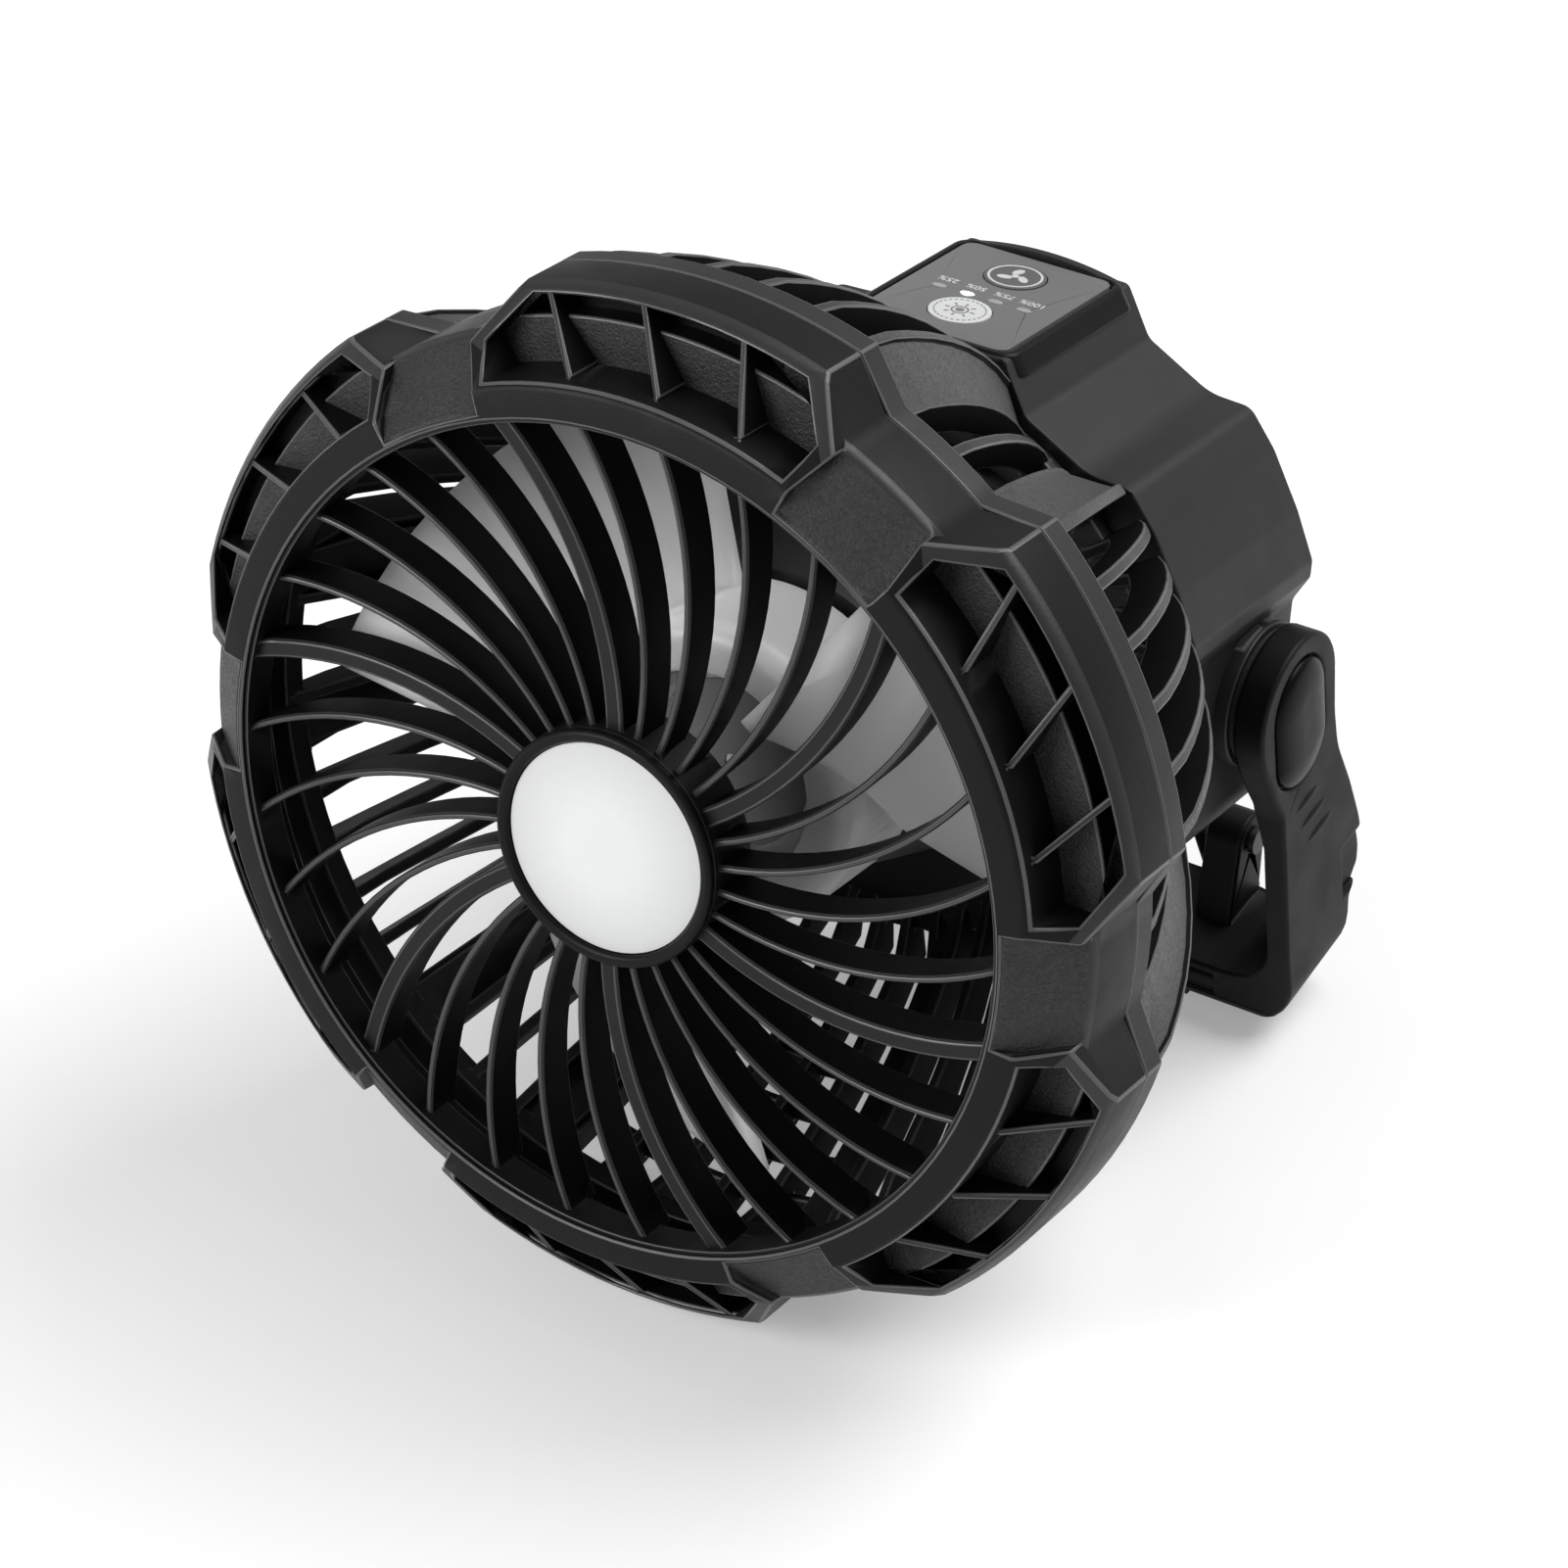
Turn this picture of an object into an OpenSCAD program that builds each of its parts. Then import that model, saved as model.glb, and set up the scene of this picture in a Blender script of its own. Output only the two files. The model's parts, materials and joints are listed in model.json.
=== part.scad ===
// Portable camping fan: a round fan head with a lamp in the middle of its grille, a
// battery housing behind it, and a swinging handle that is also the rear foot.
// Fan frame: Y is the fan axis (front is -Y), Z is up, and Y = 0 is where the lugs' front
// faces meet their outer edge. Every part is drawn in it and then leaned back by `lean`.

/* [Stance] */
// Backward lean of the head as it stands on its handle
lean = 8; // [5:0.5:11]
// Angle of the handle behind straight down, in the fan frame
handle_rest = 16.7; // [14:0.1:20]

/* [Front ring] */
// Radius over the six impact lugs
lug_r = 100; // [98:0.5:106]
// Radius of the ring between the lugs
gap_r = 93; // [92:0.5:95]
// Radius of the open mouth, inside the grille hoop
mouth_r = 78.5; // [76:0.5:79.5]
// Radius of the crest where the lug fronts start to slope
crest_r = 84.4; // [84:0.2:86]
// How far the crest stands ahead of the lugs' outer edge
crest_h = 13.3; // [12.5:0.1:15]
// Half angle of a lug at its foot
lug_foot = 23.6; // [22:0.1:24]
// Half angle of a lug at its outer edge
lug_top = 17.7; // [16:0.1:18.5]
// Depth of the grained panels between the lugs
gap_recess = 3; // [2:0.1:3.5]
// Where the front ring meets the rear cage
ring_split = 11; // [10:0.5:12]
// Back of the solid ring
ring_back = 16.5; // [15.5:0.5:18]
// Inner radius of the ring behind the grille hoop
ring_bore_r = 88; // [87:0.5:89]

/* [Lug pockets] */
// Radius of the pocket's outer wall
pocket_out_r = 98; // [97:0.1:98.4]
// Radius of the pocket's inner wall
pocket_in_r = 85.6; // [85.4:0.1:86.5]
// Depth of the pocket's floor in the fan frame
pocket_floor = -1; // [-2:0.1:0]
// Depth of the groove along the outer wall
groove_floor = 4; // [2:0.5:6]
// Inner radius of that groove
groove_in_r = 94; // [93:0.1:95]
// Thickness of the pocket ribs
pocket_rib_t = 1.2; // [0.8:0.1:2]

/* [Grille] */
// Number of swirling grille bars
bar_count = 30; // [20:5:35]
// Width of a plain bar
bar_w = 1.4; // [1.4:0.1:2.4]
// Width of every fifth bar
wide_bar_w = 3.6; // [3:0.1:6]
// Depth of the bars along the fan axis
bar_depth = 8.5; // [7:0.5:10.5]
// Angle that a bar turns through on its way to the hub
bar_sweep = 18.4; // [14:0.1:22]
// Bow radius of a bar
bar_bow_r = 74.6; // [65:0.5:90]
// Wall of the hoop that carries the bars
hoop_t = 2.3; // [2:0.1:2.5]
// Outer radius of the grille's hub cup
hub_r = 22.7; // [22:0.1:25]

/* [Lamp] */
// Radius of the lamp's lens
lens_r = 20; // [18:0.1:20.2]
// Thickness of the lens at its edge
lens_t = 2.2; // [1.6:0.1:2.4]
// Height of the lens's dome
lens_dome = 0.9; // [0.5:0.1:1.4]
// Number of lamp chips
chip_count = 12; // [6:1:16]

/* [Impeller] */
// Radius of the blade tips
blade_tip_r = 70; // [64:0.5:74]
// Front of the blades
blade_front = 3; // [2:0.5:6]
// Depth of the blades along the axis
blade_depth = 37; // [30:0.5:38]
// Angle that one blade covers
blade_sweep = 67; // [50:1:80]
// Thickness of a blade, along its travel
blade_t = 3; // [2.4:0.1:4]
// Number of blades
blade_count = 3; // [3:1:5]
// Radius of the impeller's hub
boss_r = 30; // [28:0.5:32]
// Front of the hub
boss_front = 20; // [18:0.5:22]
// Back of the hub
boss_back = 44; // [43:0.5:45]

/* [Motor] */
// Radius of the rotor can
can_r = 16.2; // [15.5:0.1:17]
// Front face of the rotor can
can_front = 28; // [27:0.5:29]
// Radius of the motor shaft
shaft_r = 1.5; // [1.2:0.1:2]
// Outer radius of the motor bearings
bearing_r = 4; // [3.5:0.1:4.5]
// Outer radius of the stator core
core_r = 13.2; // [12.5:0.1:13.4]
// Number of stator teeth
tooth_count = 9; // [6:3:12]

/* [Rear cage] */
// Thickness of a fin
fin_t = 2.3; // [1.8:0.1:3]
// Radial depth of a fin
fin_depth = 9; // [7:0.5:10]
// Radius of the cage's back edge
cage_end_r = 64; // [62:0.5:66]
// Bow radius of the fins' outer edge
cage_bow_r = 189; // [170:1:220]
// Step from the lug fins down to the fins between lugs
fin_step = 8; // [7:0.5:8.5]
// Back face of the cage, where the housing starts
cage_back = 86; // [84:0.5:88]
// Thickness of the cage's back plate
cage_plate = 3.5; // [3:0.5:5]
// Spacing of the cross hoops in the lowest lug's windows
hoop_pitch = 9.5; // [8:0.5:14]

/* [Housing] */
// Length of the battery housing along the axis
body_len = 47.5; // [47:0.5:56]
// Half of the housing's greatest width
body_half_w = 62.1; // [61.6:0.1:62.4]
// Height of the control deck
body_top = 64.5; // [63:0.5:67]
// Depth of the housing below the axis
body_drop = 58; // [57:0.5:62]
// Wall of the housing
body_wall = 2.5; // [2:0.1:3]
// Height of the shoulder beside the deck
shoulder_z = 47.1; // [45:0.1:49]

/* [Controls] */
// Width of the control panel
panel_w = 32; // [31:0.5:33]
// Length of the control panel
panel_len = 42; // [40:0.5:43]
// Thickness of the control panel
panel_t = 2; // [1.6:0.1:2.4]
// Radius of the two push buttons
key_r = 6; // [5:0.1:6.4]
// Travel of the push buttons
key_travel = 0.4; // [0.2:0.05:0.4]

/* [Battery] */
// Radius of a battery cell
cell_r = 9.2; // [9:0.05:9.3]
// Length of a battery cell
cell_len = 65; // [63:0.5:66]

/* [Handle] */
// Height of the handle's pivot above the axis
pivot_z = -2.5; // [-5:0.5:0]
// Place of the handle's pivot along the axis
pivot_y = 118; // [112:0.5:118]
// Radius of the handle's round top
arm_r = 14.8; // [14:0.1:16]
// Inner face of the arms
arm_in = 63.3; // [63:0.1:64]
// Outer face of the arms
arm_out = 70; // [69.5:0.1:72]
// Width of an arm where it is widest
arm_wide = 24; // [20:0.5:26]
// Thickness of the cross bar
bar_t = 12.2; // [10:0.2:14]
// Radius of the pivot bolts
bolt_r = 3; // [2.5:0.1:3.5]
// Thickness of the rubber foot strip below the bar
pad_t = 1.2; // [1:0.1:2]

/* [Hanging hook] */
// Radius of the hook's wire
wire_r = 2; // [1.6:0.1:2.4]
// Half width of the hook
hook_half_w = 38; // [30:0.5:40]
// Length of the hook from its hinge
hook_len = 25; // [20:0.5:28]

/* [Fits] */
// Gap between fixed parts that meet on curved faces
fit = 0.1; // [0.05:0.01:0.2]
// Gap between parts that move past each other
play = 0.3; // [0.2:0.05:0.5]
// Radial clearance of the running pins and shafts
run = 0.04; // [0.02:0.01:0.08]

/* [Hidden] */
$fn = 96;

lug_count = 6;
fin_count = 54;
far = 400;                                  // longer than the whole fan
bite = 0.4;                                 // how deep joined shapes run into each other
lug_pitch = 360 / lug_count;
fin_pitch = 360 / fin_count;

// front ring, as radius and place along the axis
cone_rise = crest_h / (lug_r - crest_r);
function cone_y(r) = (r - lug_r) * cone_rise;
lip_t = 0.8;
lip_y = -crest_h - 0.6;
lip_r = mouth_r + lip_t;
hoop_r = mouth_r + hoop_t;
hoop_front = lip_y + 0.9;
hoop_back = -6;
flange_t = 1.5;
flange_r = hoop_r + 3.2;
panel_in_r = lip_r + 1.9;
gap_half = lug_pitch / 2 - lug_foot;        // half angle of a gap panel at its outer end
gap_top = lug_pitch / 2 - lug_top;
screw_ring_r = (ring_bore_r + lug_r) / 2;   // bezel screws, behind the lugs
grille_screw_r = (hoop_r + flange_r) / 2;
grille_head_r = (flange_r - hoop_r) / 2 - fit;
pocket_mid_r = 91.5;                        // where a pocket is widest
pocket_half = [20.4, 21.4, 16.4];           // half angles at its inner, middle and outer corners
rib_out_r = pocket_out_r - 0.8;
rib_in_r = pocket_in_r + 2.4;
rib_in_y = cone_y(pocket_in_r) + 4.6;       // the ribs sink towards the pocket's inner wall
rib_ends = [[-14.3, -10.8], [-3, 1], [8.8, 12.4]];  // outer and inner angle of each rib

// grille
cup_t = 2;
cup_front = hoop_front + 0.4;
bar_front = cup_front + 1.2;                // the bars lie a little deeper than the cup's rim
bar_embed = 1.2;
cup_back = -1;
lens_seat = cup_front + 1.7;
board_seat = lens_seat + 3.8;
board_t = 1;

// cage profile: a circular bow from the ring's back edge to the cage's back edge
bow_a = [ring_back, lug_r - 0.1];
bow_b = [cage_back, cage_end_r];
bow_mid = (bow_a + bow_b) / 2;
bow_half = norm(bow_b - bow_a) / 2;
bow_dir = (bow_b - bow_a) / norm(bow_b - bow_a);
bow_c = bow_mid + sqrt(pow(cage_bow_r, 2) - pow(bow_half, 2)) * [bow_dir.y, -bow_dir.x];
function dome_r(y) = bow_c.y + sqrt(pow(cage_bow_r, 2) - pow(y - bow_c.x, 2));
bow_steps = 8;
function bow_y(i) = ring_back + (cage_back - ring_back) * i / bow_steps;
plate_y = cage_back - cage_plate;
plate_r = cage_end_r - fin_step + 1;

// motor
can_t = 1.1;
can_back = boss_back - 0.5;
magnet_t = 1.4;
base_back = boss_back + 4;
base_t = 2;
tube_wall = 1.4;
core_y = can_front + 6;
core_len = 8.4;
tooth_half = 1.1;
yoke_r = bearing_r + 3.4;
mount_flange_t = 3;
mount_rear_r = 38;
mount_flange_r = 48;
mount_screw_r = 44;
wire_hole_r = 5;

// housing
body_back = cage_back + body_len;
deck_half_w = panel_w / 2 + 1.4;
panel_gap = 0.3;
panel_y0 = cage_back + 2.4;
panel_yc = panel_y0 + panel_len / 2;
panel_z = body_top + 0.5;
panel_bed = panel_z - panel_t;
light_key_y = panel_yc - 9.7;
lamp_row_y = panel_yc - 1.7;
fan_key_y = panel_yc + 11;
lamp_pitch = 6.1;
cell_pitch = 2 * cell_r + 0.8;
cell_y0 = cage_back + body_wall + 3 + cell_r;
cell_z0 = -body_drop + 16;
holder_half = cell_len / 2 + 2.5;
holder_top = cell_z0 + cell_pitch + cell_r + 2.3;
post_h = 5;
board_z = holder_top + post_h;
port_z = board_z + 1.6;
cover_t = 2.5;
cover_in = body_back - cover_t;
cover_boss_r = 4.4;
cover_screw_up = [body_half_w - 15.1, shoulder_z - 12.1];
cover_screw_low = [body_half_w - 17.7, 23 - body_drop];
cover_screws_xz = [for (s = [1, -1], p = [cover_screw_up, cover_screw_low]) [s * p.x, p.y]];
cage_screws_xz = [[38, 22], [-38, 22], [38, -10], [-38, -10]];

// corners of the housing's outline, each [x, z, radius], right half from the deck down
body_right = [[deck_half_w + 0.1, body_top, 1.8], [deck_half_w + 5.6, shoulder_z + 7.7, 4],
    [36.9, shoulder_z + 0.4, 12], [45.7, shoulder_z, 4], [body_half_w - 10.6, shoulder_z - 7, 12],
    [body_half_w - 4.3, shoulder_z - 17.8, 18], [body_half_w, 20, 3], [body_half_w, 16.6, 2],
    [body_half_w - 3.1, 11, 4], [body_half_w - 3.1, -26.8, 9], [42, 9.2 - body_drop, 10],
    [34, 3 - body_drop, 10], [24, -body_drop, 10]];
body_corners = concat(body_right,
    [for (i = [len(body_right) - 1 : -1 : 0]) [-body_right[i].x, body_right[i].y, body_right[i].z]]);

// a closed outline (clockwise) of corners [x, y, radius], moved inwards by d and rounded
corner_steps = 5;
function unit(v) = v / norm(v);
function xy(p) = [p.x, p.y];
function before(p, i) = xy(p[(i + len(p) - 1) % len(p)]);
function after(p, i) = xy(p[(i + 1) % len(p)]);
function inward(a, b) = unit([b.y - a.y, a.x - b.x]);
function inset(p, d) = [for (i = [0 : len(p) - 1])
    let (u = inward(before(p, i), xy(p[i])), v = inward(xy(p[i]), after(p, i)),
        q = xy(p[i]) + (u + v) * d / (1 + u * v))
    [q.x, q.y, p[i].z]];
function corner_arc(a, p, b, r, d) =
    let (u = unit(a - p), v = unit(b - p), turn = 180 - acos(u * v), way = sign(cross(v, u)),
        bend = max(r + way * d, 0.2), c = p + unit(u + v) * bend / cos(turn / 2),
        start = p + u * bend * tan(turn / 2) - c, from = atan2(start.y, start.x))
    [for (k = [0 : corner_steps]) c + pol(bend, from + way * turn * k / corner_steps)];
function rounded(corners, d = 0) = let (q = inset(corners, d))
    [for (i = [0 : len(q) - 1]) each corner_arc(before(q, i), xy(q[i]), after(q, i), q[i].z, d)];

// stance: the head's ring and the handle's foot both touch the floor
lift = lug_r * cos(lean) + ring_back * sin(lean);
pivot_h = pivot_z * cos(lean) - pivot_y * sin(lean) + lift;
foot_lean = handle_rest - lean;
foot_a = pivot_h / cos(foot_lean);          // from the pivot to the floor, along the handle
bar_low = -(foot_a - pad_t);
bar_high = bar_low + bar_t;
front_reach = crest_r * sin(lean) + crest_h * cos(lean);
wide_a = -bar_high - 14;                    // where the arms are widest
function reach(y, z) = (pivot_y - z * sin(handle_rest) + y * cos(handle_rest)) * cos(lean)
    + (pivot_z + z * cos(handle_rest) + y * sin(handle_rest)) * sin(lean);

// handle
bar_front_y = -8.5;
bar_back_y = 16;
cap_recess = 1.2;
head_r = 6.5;
head_t = 1.9;
head_seat = arm_in + 3;
cap_r = 9.5;
cap_z = [1, -9];
pad_half_w = 45;
pad_y = [-6, 10];
pad_sink = 1.5;
fold = 16.3;                                // folded hook's lean behind the bar
washer_t = 1;
insert_r = bolt_r + 1.5;
insert_x = [arm_in - 16.1, arm_in - 4.3];
hook_y = 14.5;
hook_z = bar_high + 15;
hook_reach = reach(hook_y + hook_len * sin(fold), hook_z - hook_len * cos(fold)) + wire_r;
back_reach = max(reach(arm_wide, -wide_a), hook_reach);
stance_y = (front_reach - back_reach) / 2;
lug_in = hook_half_w + wire_r + 2;
lug_wide = 8;

function pol(r, a) = [r * cos(a), r * sin(a)];
function arc(c, r, a0, a1, n) = [for (i = [0 : n]) c + pol(r, a0 + (a1 - a0) * i / n)];
function lugs() = [for (k = [0 : lug_count - 1]) k * lug_pitch];

module stance() translate([0, stance_y, lift]) rotate([-lean, 0, 0]) children();
module axial() rotate([-90, 0, 0]) children();
module at_phi(phi) rotate([0, 0, phi - 90]) children();
module along_y(y0, y1) translate([0, y1, 0]) rotate([90, 0, 0]) linear_extrude(y1 - y0) children();
module across_x(x0, x1) translate([x0, 0, 0]) rotate([90, 0, 90]) linear_extrude(x1 - x0) children();
module pin_x(r, x0, x1) translate([x0, 0, 0]) rotate([0, 90, 0]) cylinder(r = r, h = x1 - x0);
module pin_y(r, y0, y1) translate([0, y0, 0]) rotate([-90, 0, 0]) cylinder(r = r, h = y1 - y0);
module slab(y0, y1) translate([0, 0, y0]) linear_extrude(y1 - y0) children();
module ring(r0, r1, y0, y1) difference() {
    translate([0, 0, y0]) cylinder(r = r1, h = y1 - y0);
    translate([0, 0, y0 - 1]) cylinder(r = r0, h = y1 - y0 + 2);
}
module handle_frame() translate([0, pivot_y, pivot_z]) rotate([handle_rest, 0, 0]) children();
module both_sides() {
    children();
    mirror([1, 0, 0]) children();
}
module box(lo, hi) translate(lo) cube(hi - lo);

// ---- front ring ----

// wedge between two lugs, as seen from the front
module gap_wedge() {
    p = [pol(lip_r, gap_half + 1.4), pol(crest_r + 0.4, gap_half + 1.4), pol(gap_r - 1, gap_half),
        pol(lug_r, gap_top), pol(lug_r + 15, gap_top + 9)];
    polygon(concat(p, [for (i = [len(p) - 1 : -1 : 0]) [p[i].x, -p[i].y]]));
}

module pocket_outline(r0, r1, trim) intersection() {
    difference() {
        circle(r = r1);
        circle(r = r0);
    }
    half = [pol(pocket_in_r - 3, pocket_half[0] - trim), pol(pocket_mid_r, pocket_half[1] - trim),
        pol(pocket_out_r, pocket_half[2] - trim), pol(lug_r + 12, pocket_half[2] / 2)];
    polygon(concat(half, [for (i = [len(half) - 1 : -1 : 0]) [half[i].x, -half[i].y]]));
}

// a thin rib that slants across a pocket
module pocket_rib(a_out, a_in) {
    p = pol(rib_out_r, a_out);
    q = pol(rib_in_r, a_in);
    run_len = norm(q - p);
    turn = atan2(q.y - p.y, q.x - p.x);
    y_out = cone_y(rib_out_r) + 0.9;
    fall = (rib_in_y - y_out) / run_len;
    x_in = run_len + 3;
    x_groove = (rib_out_r - groove_in_r) * run_len / (rib_out_r - rib_in_r) + bite;
    translate([p.x, p.y, 0]) rotate([0, 0, turn]) rotate([90, 0, 0])
        linear_extrude(pocket_rib_t, center = true)
            polygon([[-1.2, groove_floor + bite], [-1.2, y_out - 1.2 * fall], [x_in, y_out + x_in * fall],
                [x_in, pocket_floor + bite], [x_groove, pocket_floor + bite],
                [x_groove, groove_floor + bite]]);
}

module front_bezel() color("#2b2c2e") stance() axial() {
    difference() {
        rotate_extrude() polygon([[lip_r, lip_y], [crest_r, -crest_h], [lug_r - 1.1, cone_y(lug_r - 1.1)],
            [lug_r, 0.8], [lug_r, ring_split], [ring_bore_r, ring_split], [ring_bore_r, pocket_floor + 4.5],
            [flange_r + fit, pocket_floor + 2.6], [flange_r + fit, hoop_back - flange_t],
            [hoop_r + fit, hoop_back - flange_t], [hoop_r + fit, hoop_front], [lip_r, hoop_front]]);
        for (a = lugs()) at_phi(a + lug_pitch / 2) intersection() {
            slab(-40, 40) gap_wedge();
            rotate_extrude() polygon([[panel_in_r - 0.7, -30], [panel_in_r - 0.7, lip_y + 0.3],
                [panel_in_r, cone_y(panel_in_r) + gap_recess],
                [gap_r - 1.2, cone_y(gap_r - 1.2) + gap_recess], [gap_r, cone_y(gap_r) + gap_recess + 0.8],
                [gap_r, 30], [lug_r + 20, 30], [lug_r + 20, -30]]);
        }
        for (a = lugs()) at_phi(a) {
            slab(-30, pocket_floor) pocket_outline(pocket_in_r, pocket_out_r, 0);
            slab(-30, groove_floor) pocket_outline(groove_in_r, pocket_out_r - 0.5, 0.6);
            translate([screw_ring_r, 0, groove_floor + 2]) cylinder(r = 1.3, h = 10);
            translate([grille_screw_r, 0, hoop_back - 6]) cylinder(r = 0.9, h = 10);
        }
    }
    for (a = lugs(), e = rib_ends) at_phi(a) pocket_rib(e[0], e[1]);
}

// ---- grille and lamp ----

// one bar: a circular bow from the hoop to the hub cup
bar_p = [mouth_r, 0];
bar_q = pol(hub_r + 0.6, bar_sweep);
bar_m = (bar_p + bar_q) / 2;
bar_n = unit([-(bar_q - bar_p).y, (bar_q - bar_p).x]);
bar_c = bar_m + bar_n * sqrt(pow(bar_bow_r, 2) - pow(norm(bar_q - bar_p) / 2, 2));
bar_a0 = atan2(bar_p.y - bar_c.y, bar_p.x - bar_c.x);
bar_a1 = atan2(bar_q.y - bar_c.y, bar_q.x - bar_c.x);
bar_more = bar_embed / bar_bow_r * 180 / PI;

module grille_bar(w) {
    soft = 0.45;
    translate([bar_c.x, bar_c.y, bar_front]) rotate([0, 0, bar_a0 - bar_more])
        rotate_extrude(angle = bar_a1 - bar_a0 + 2 * bar_more)
            polygon([[bar_bow_r - w / 2, soft], [bar_bow_r - w / 2 + soft, 0], [bar_bow_r + w / 2 - soft, 0],
                [bar_bow_r + w / 2, soft], [bar_bow_r + w / 2 - 0.2, bar_depth],
                [bar_bow_r - w / 2 + 0.2, bar_depth]]);
}

module grille() color("#232426") stance() axial() {
    difference() {
        rotate_extrude() polygon([[mouth_r, hoop_front], [hoop_r, hoop_front], [hoop_r, hoop_back - flange_t],
            [flange_r, hoop_back - flange_t], [flange_r, hoop_back], [mouth_r, hoop_back]]);
        for (a = lugs()) at_phi(a) translate([grille_screw_r, 0, -20]) cylinder(r = 1, h = 30);
    }
    for (k = [0 : bar_count - 1]) at_phi(40 + k * 360 / bar_count)
        grille_bar(k % 5 == 0 ? wide_bar_w : bar_w);
    rotate_extrude() polygon([[0, cup_back], [hub_r, cup_back], [hub_r, cup_front], [lens_r + fit, cup_front],
        [lens_r + fit, lens_seat], [lens_r - 1.2, lens_seat], [lens_r - 1.2, board_seat],
        [lens_r - 2.6, board_seat], [lens_r - 2.6, cup_back - cup_t], [0, cup_back - cup_t]]);
}

module grille_screws() color("#8c8f93") stance() axial() for (a = lugs()) at_phi(a)
    translate([grille_screw_r, 0, 0]) {
        translate([0, 0, hoop_back - 5.5]) cylinder(r = 0.85, h = 6);
        translate([0, 0, hoop_back]) cylinder(r = grille_head_r, h = 1.2);
    }

module lamp_trim() color("#1b1b1d") stance() axial() rotate_extrude() polygon(concat(
    [[lens_r + 0.25, cup_front], [hub_r, cup_front]],
    arc([hub_r - 1, cup_front - 0.7], 1, 0, -90, 6),
    arc([lens_r + 1.15, cup_front - 0.7], 0.9, -90, -180, 6)));

module lamp_lens() color("#f2f3f5") stance() axial() rotate_extrude() polygon(concat(
    [[0, lens_seat], [lens_r, lens_seat]],
    [for (i = [10 : -1 : 0]) [lens_r * i / 10, lens_seat - lens_t - lens_dome * (1 - pow(i / 10, 2))]]));

module lamp_board() color("#e6e8e6") stance() axial()
    translate([0, 0, board_seat - board_t]) cylinder(r = lens_r - 1.4, h = board_t);

module lamp_chips() color("#f6e9a8") stance() axial() for (k = [0 : chip_count - 1])
    at_phi(k * 360 / chip_count) translate([k % 2 == 0 ? 13 : 7, 0, board_seat - board_t - 0.35])
        cube([2.4, 2.4, 0.7], center = true);

// ---- impeller and motor ----

module impeller() color("#c9cbcd") stance() axial() {
    rotate_extrude() polygon(concat(
        arc([boss_r - 4, boss_front + 4], 4, 0, -90, 6),
        [[can_r + 4.3, boss_front + 0.6], [can_r + 3.6, can_front], [can_r + 0.05, can_front],
        [can_r + 0.05, boss_back - 1], [can_r + 2, boss_back - 1], [can_r + 2, can_front + 2],
        [can_r + 5, can_front + 2], [can_r + 5.8, boss_front + 3], [boss_r - 5, boss_front + 2.2],
        [boss_r - 1.9, boss_front + 5], [boss_r - 1.9, boss_back], [boss_r, boss_back]]));
    for (k = [0 : blade_count - 1]) at_phi(37 + k * 360 / blade_count)
        translate([0, 0, blade_front])
            linear_extrude(blade_depth, twist = -blade_sweep, slices = 20, segments = 8)
                translate([boss_r - 1.2, -blade_t / 2]) square([blade_tip_r - boss_r + 1.2, blade_t]);
}

module motor_rotor() color("#6f7276") stance() axial() rotate_extrude() polygon([
    [shaft_r + 0.01, can_front], [can_r, can_front], [can_r, can_back], [can_r - can_t, can_back],
    [can_r - can_t, can_front + can_t], [3.6, can_front + can_t], [3.6, can_front + 3.4],
    [shaft_r + 0.01, can_front + 3.4]]);

module rotor_magnet() color("#4a4a4c") stance() axial()
    ring(can_r - can_t - magnet_t, can_r - can_t - 0.02, can_front + 3, can_back - 1);

module motor_shaft() color("#b9bcc0") stance() axial()
    translate([0, 0, can_front + 0.3]) cylinder(r = shaft_r, h = base_back - can_front - 1.3);

module motor_base() color("#9a9da1") stance() axial() rotate_extrude() polygon([
    [bearing_r + 0.01, can_front + 4.6], [bearing_r + tube_wall, can_front + 4.6],
    [bearing_r + tube_wall, base_back - base_t], [core_r, base_back - base_t], [core_r, base_back],
    [0, base_back], [0, base_back - 0.6], [bearing_r + 0.01, base_back - 0.6]]);

module stator_core() color("#7b5a3a") stance() axial() difference() {
    union() {
        translate([0, 0, core_y]) cylinder(r = yoke_r, h = core_len);
        for (k = [0 : tooth_count - 1]) at_phi(k * 360 / tooth_count) {
            box([yoke_r - bite, -tooth_half, core_y], [core_r - 0.8, tooth_half, core_y + core_len]);
            translate([0, 0, core_y]) rotate([0, 0, -14]) rotate_extrude(angle = 28)
                translate([core_r - tooth_half, 0]) square([tooth_half, core_len]);
        }
    }
    cylinder(r = bearing_r + tube_wall + fit / 2, h = far);
}

module stator_coils() color("#b5662c") stance() axial() for (k = [0 : tooth_count - 1])
    at_phi(k * 360 / tooth_count) difference() {
        box([yoke_r + 0.6, -2 * tooth_half, core_y - 1],
            [core_r - 1.6, 2 * tooth_half, core_y + core_len + 1]);
        box([yoke_r - 1, -tooth_half - fit / 2, core_y - fit / 2],
            [core_r, tooth_half + fit / 2, core_y + core_len + fit / 2]);
    }

module motor_bearings() color("#c5c8cc") stance() axial() {
    ring(shaft_r + run, bearing_r, can_front + 5, can_front + 9);
    ring(shaft_r + run, bearing_r, base_back - 5, base_back - 1);
}

module motor_mount() color("#2a2a2c") stance() axial() difference() {
    rotate_extrude() polygon([[wire_hole_r, base_back], [boss_r, base_back],
        [mount_rear_r, plate_y - mount_flange_t], [mount_flange_r, plate_y - mount_flange_t],
        [mount_flange_r, plate_y], [mount_rear_r - 2.2, plate_y],
        [boss_r - 2.2, base_back + 2.4], [wire_hole_r, base_back + 2.4]]);
    for (a = [45 : 90 : 315]) at_phi(a) translate([mount_screw_r, 0, base_back]) cylinder(r = 1.6, h = far);
}

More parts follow.
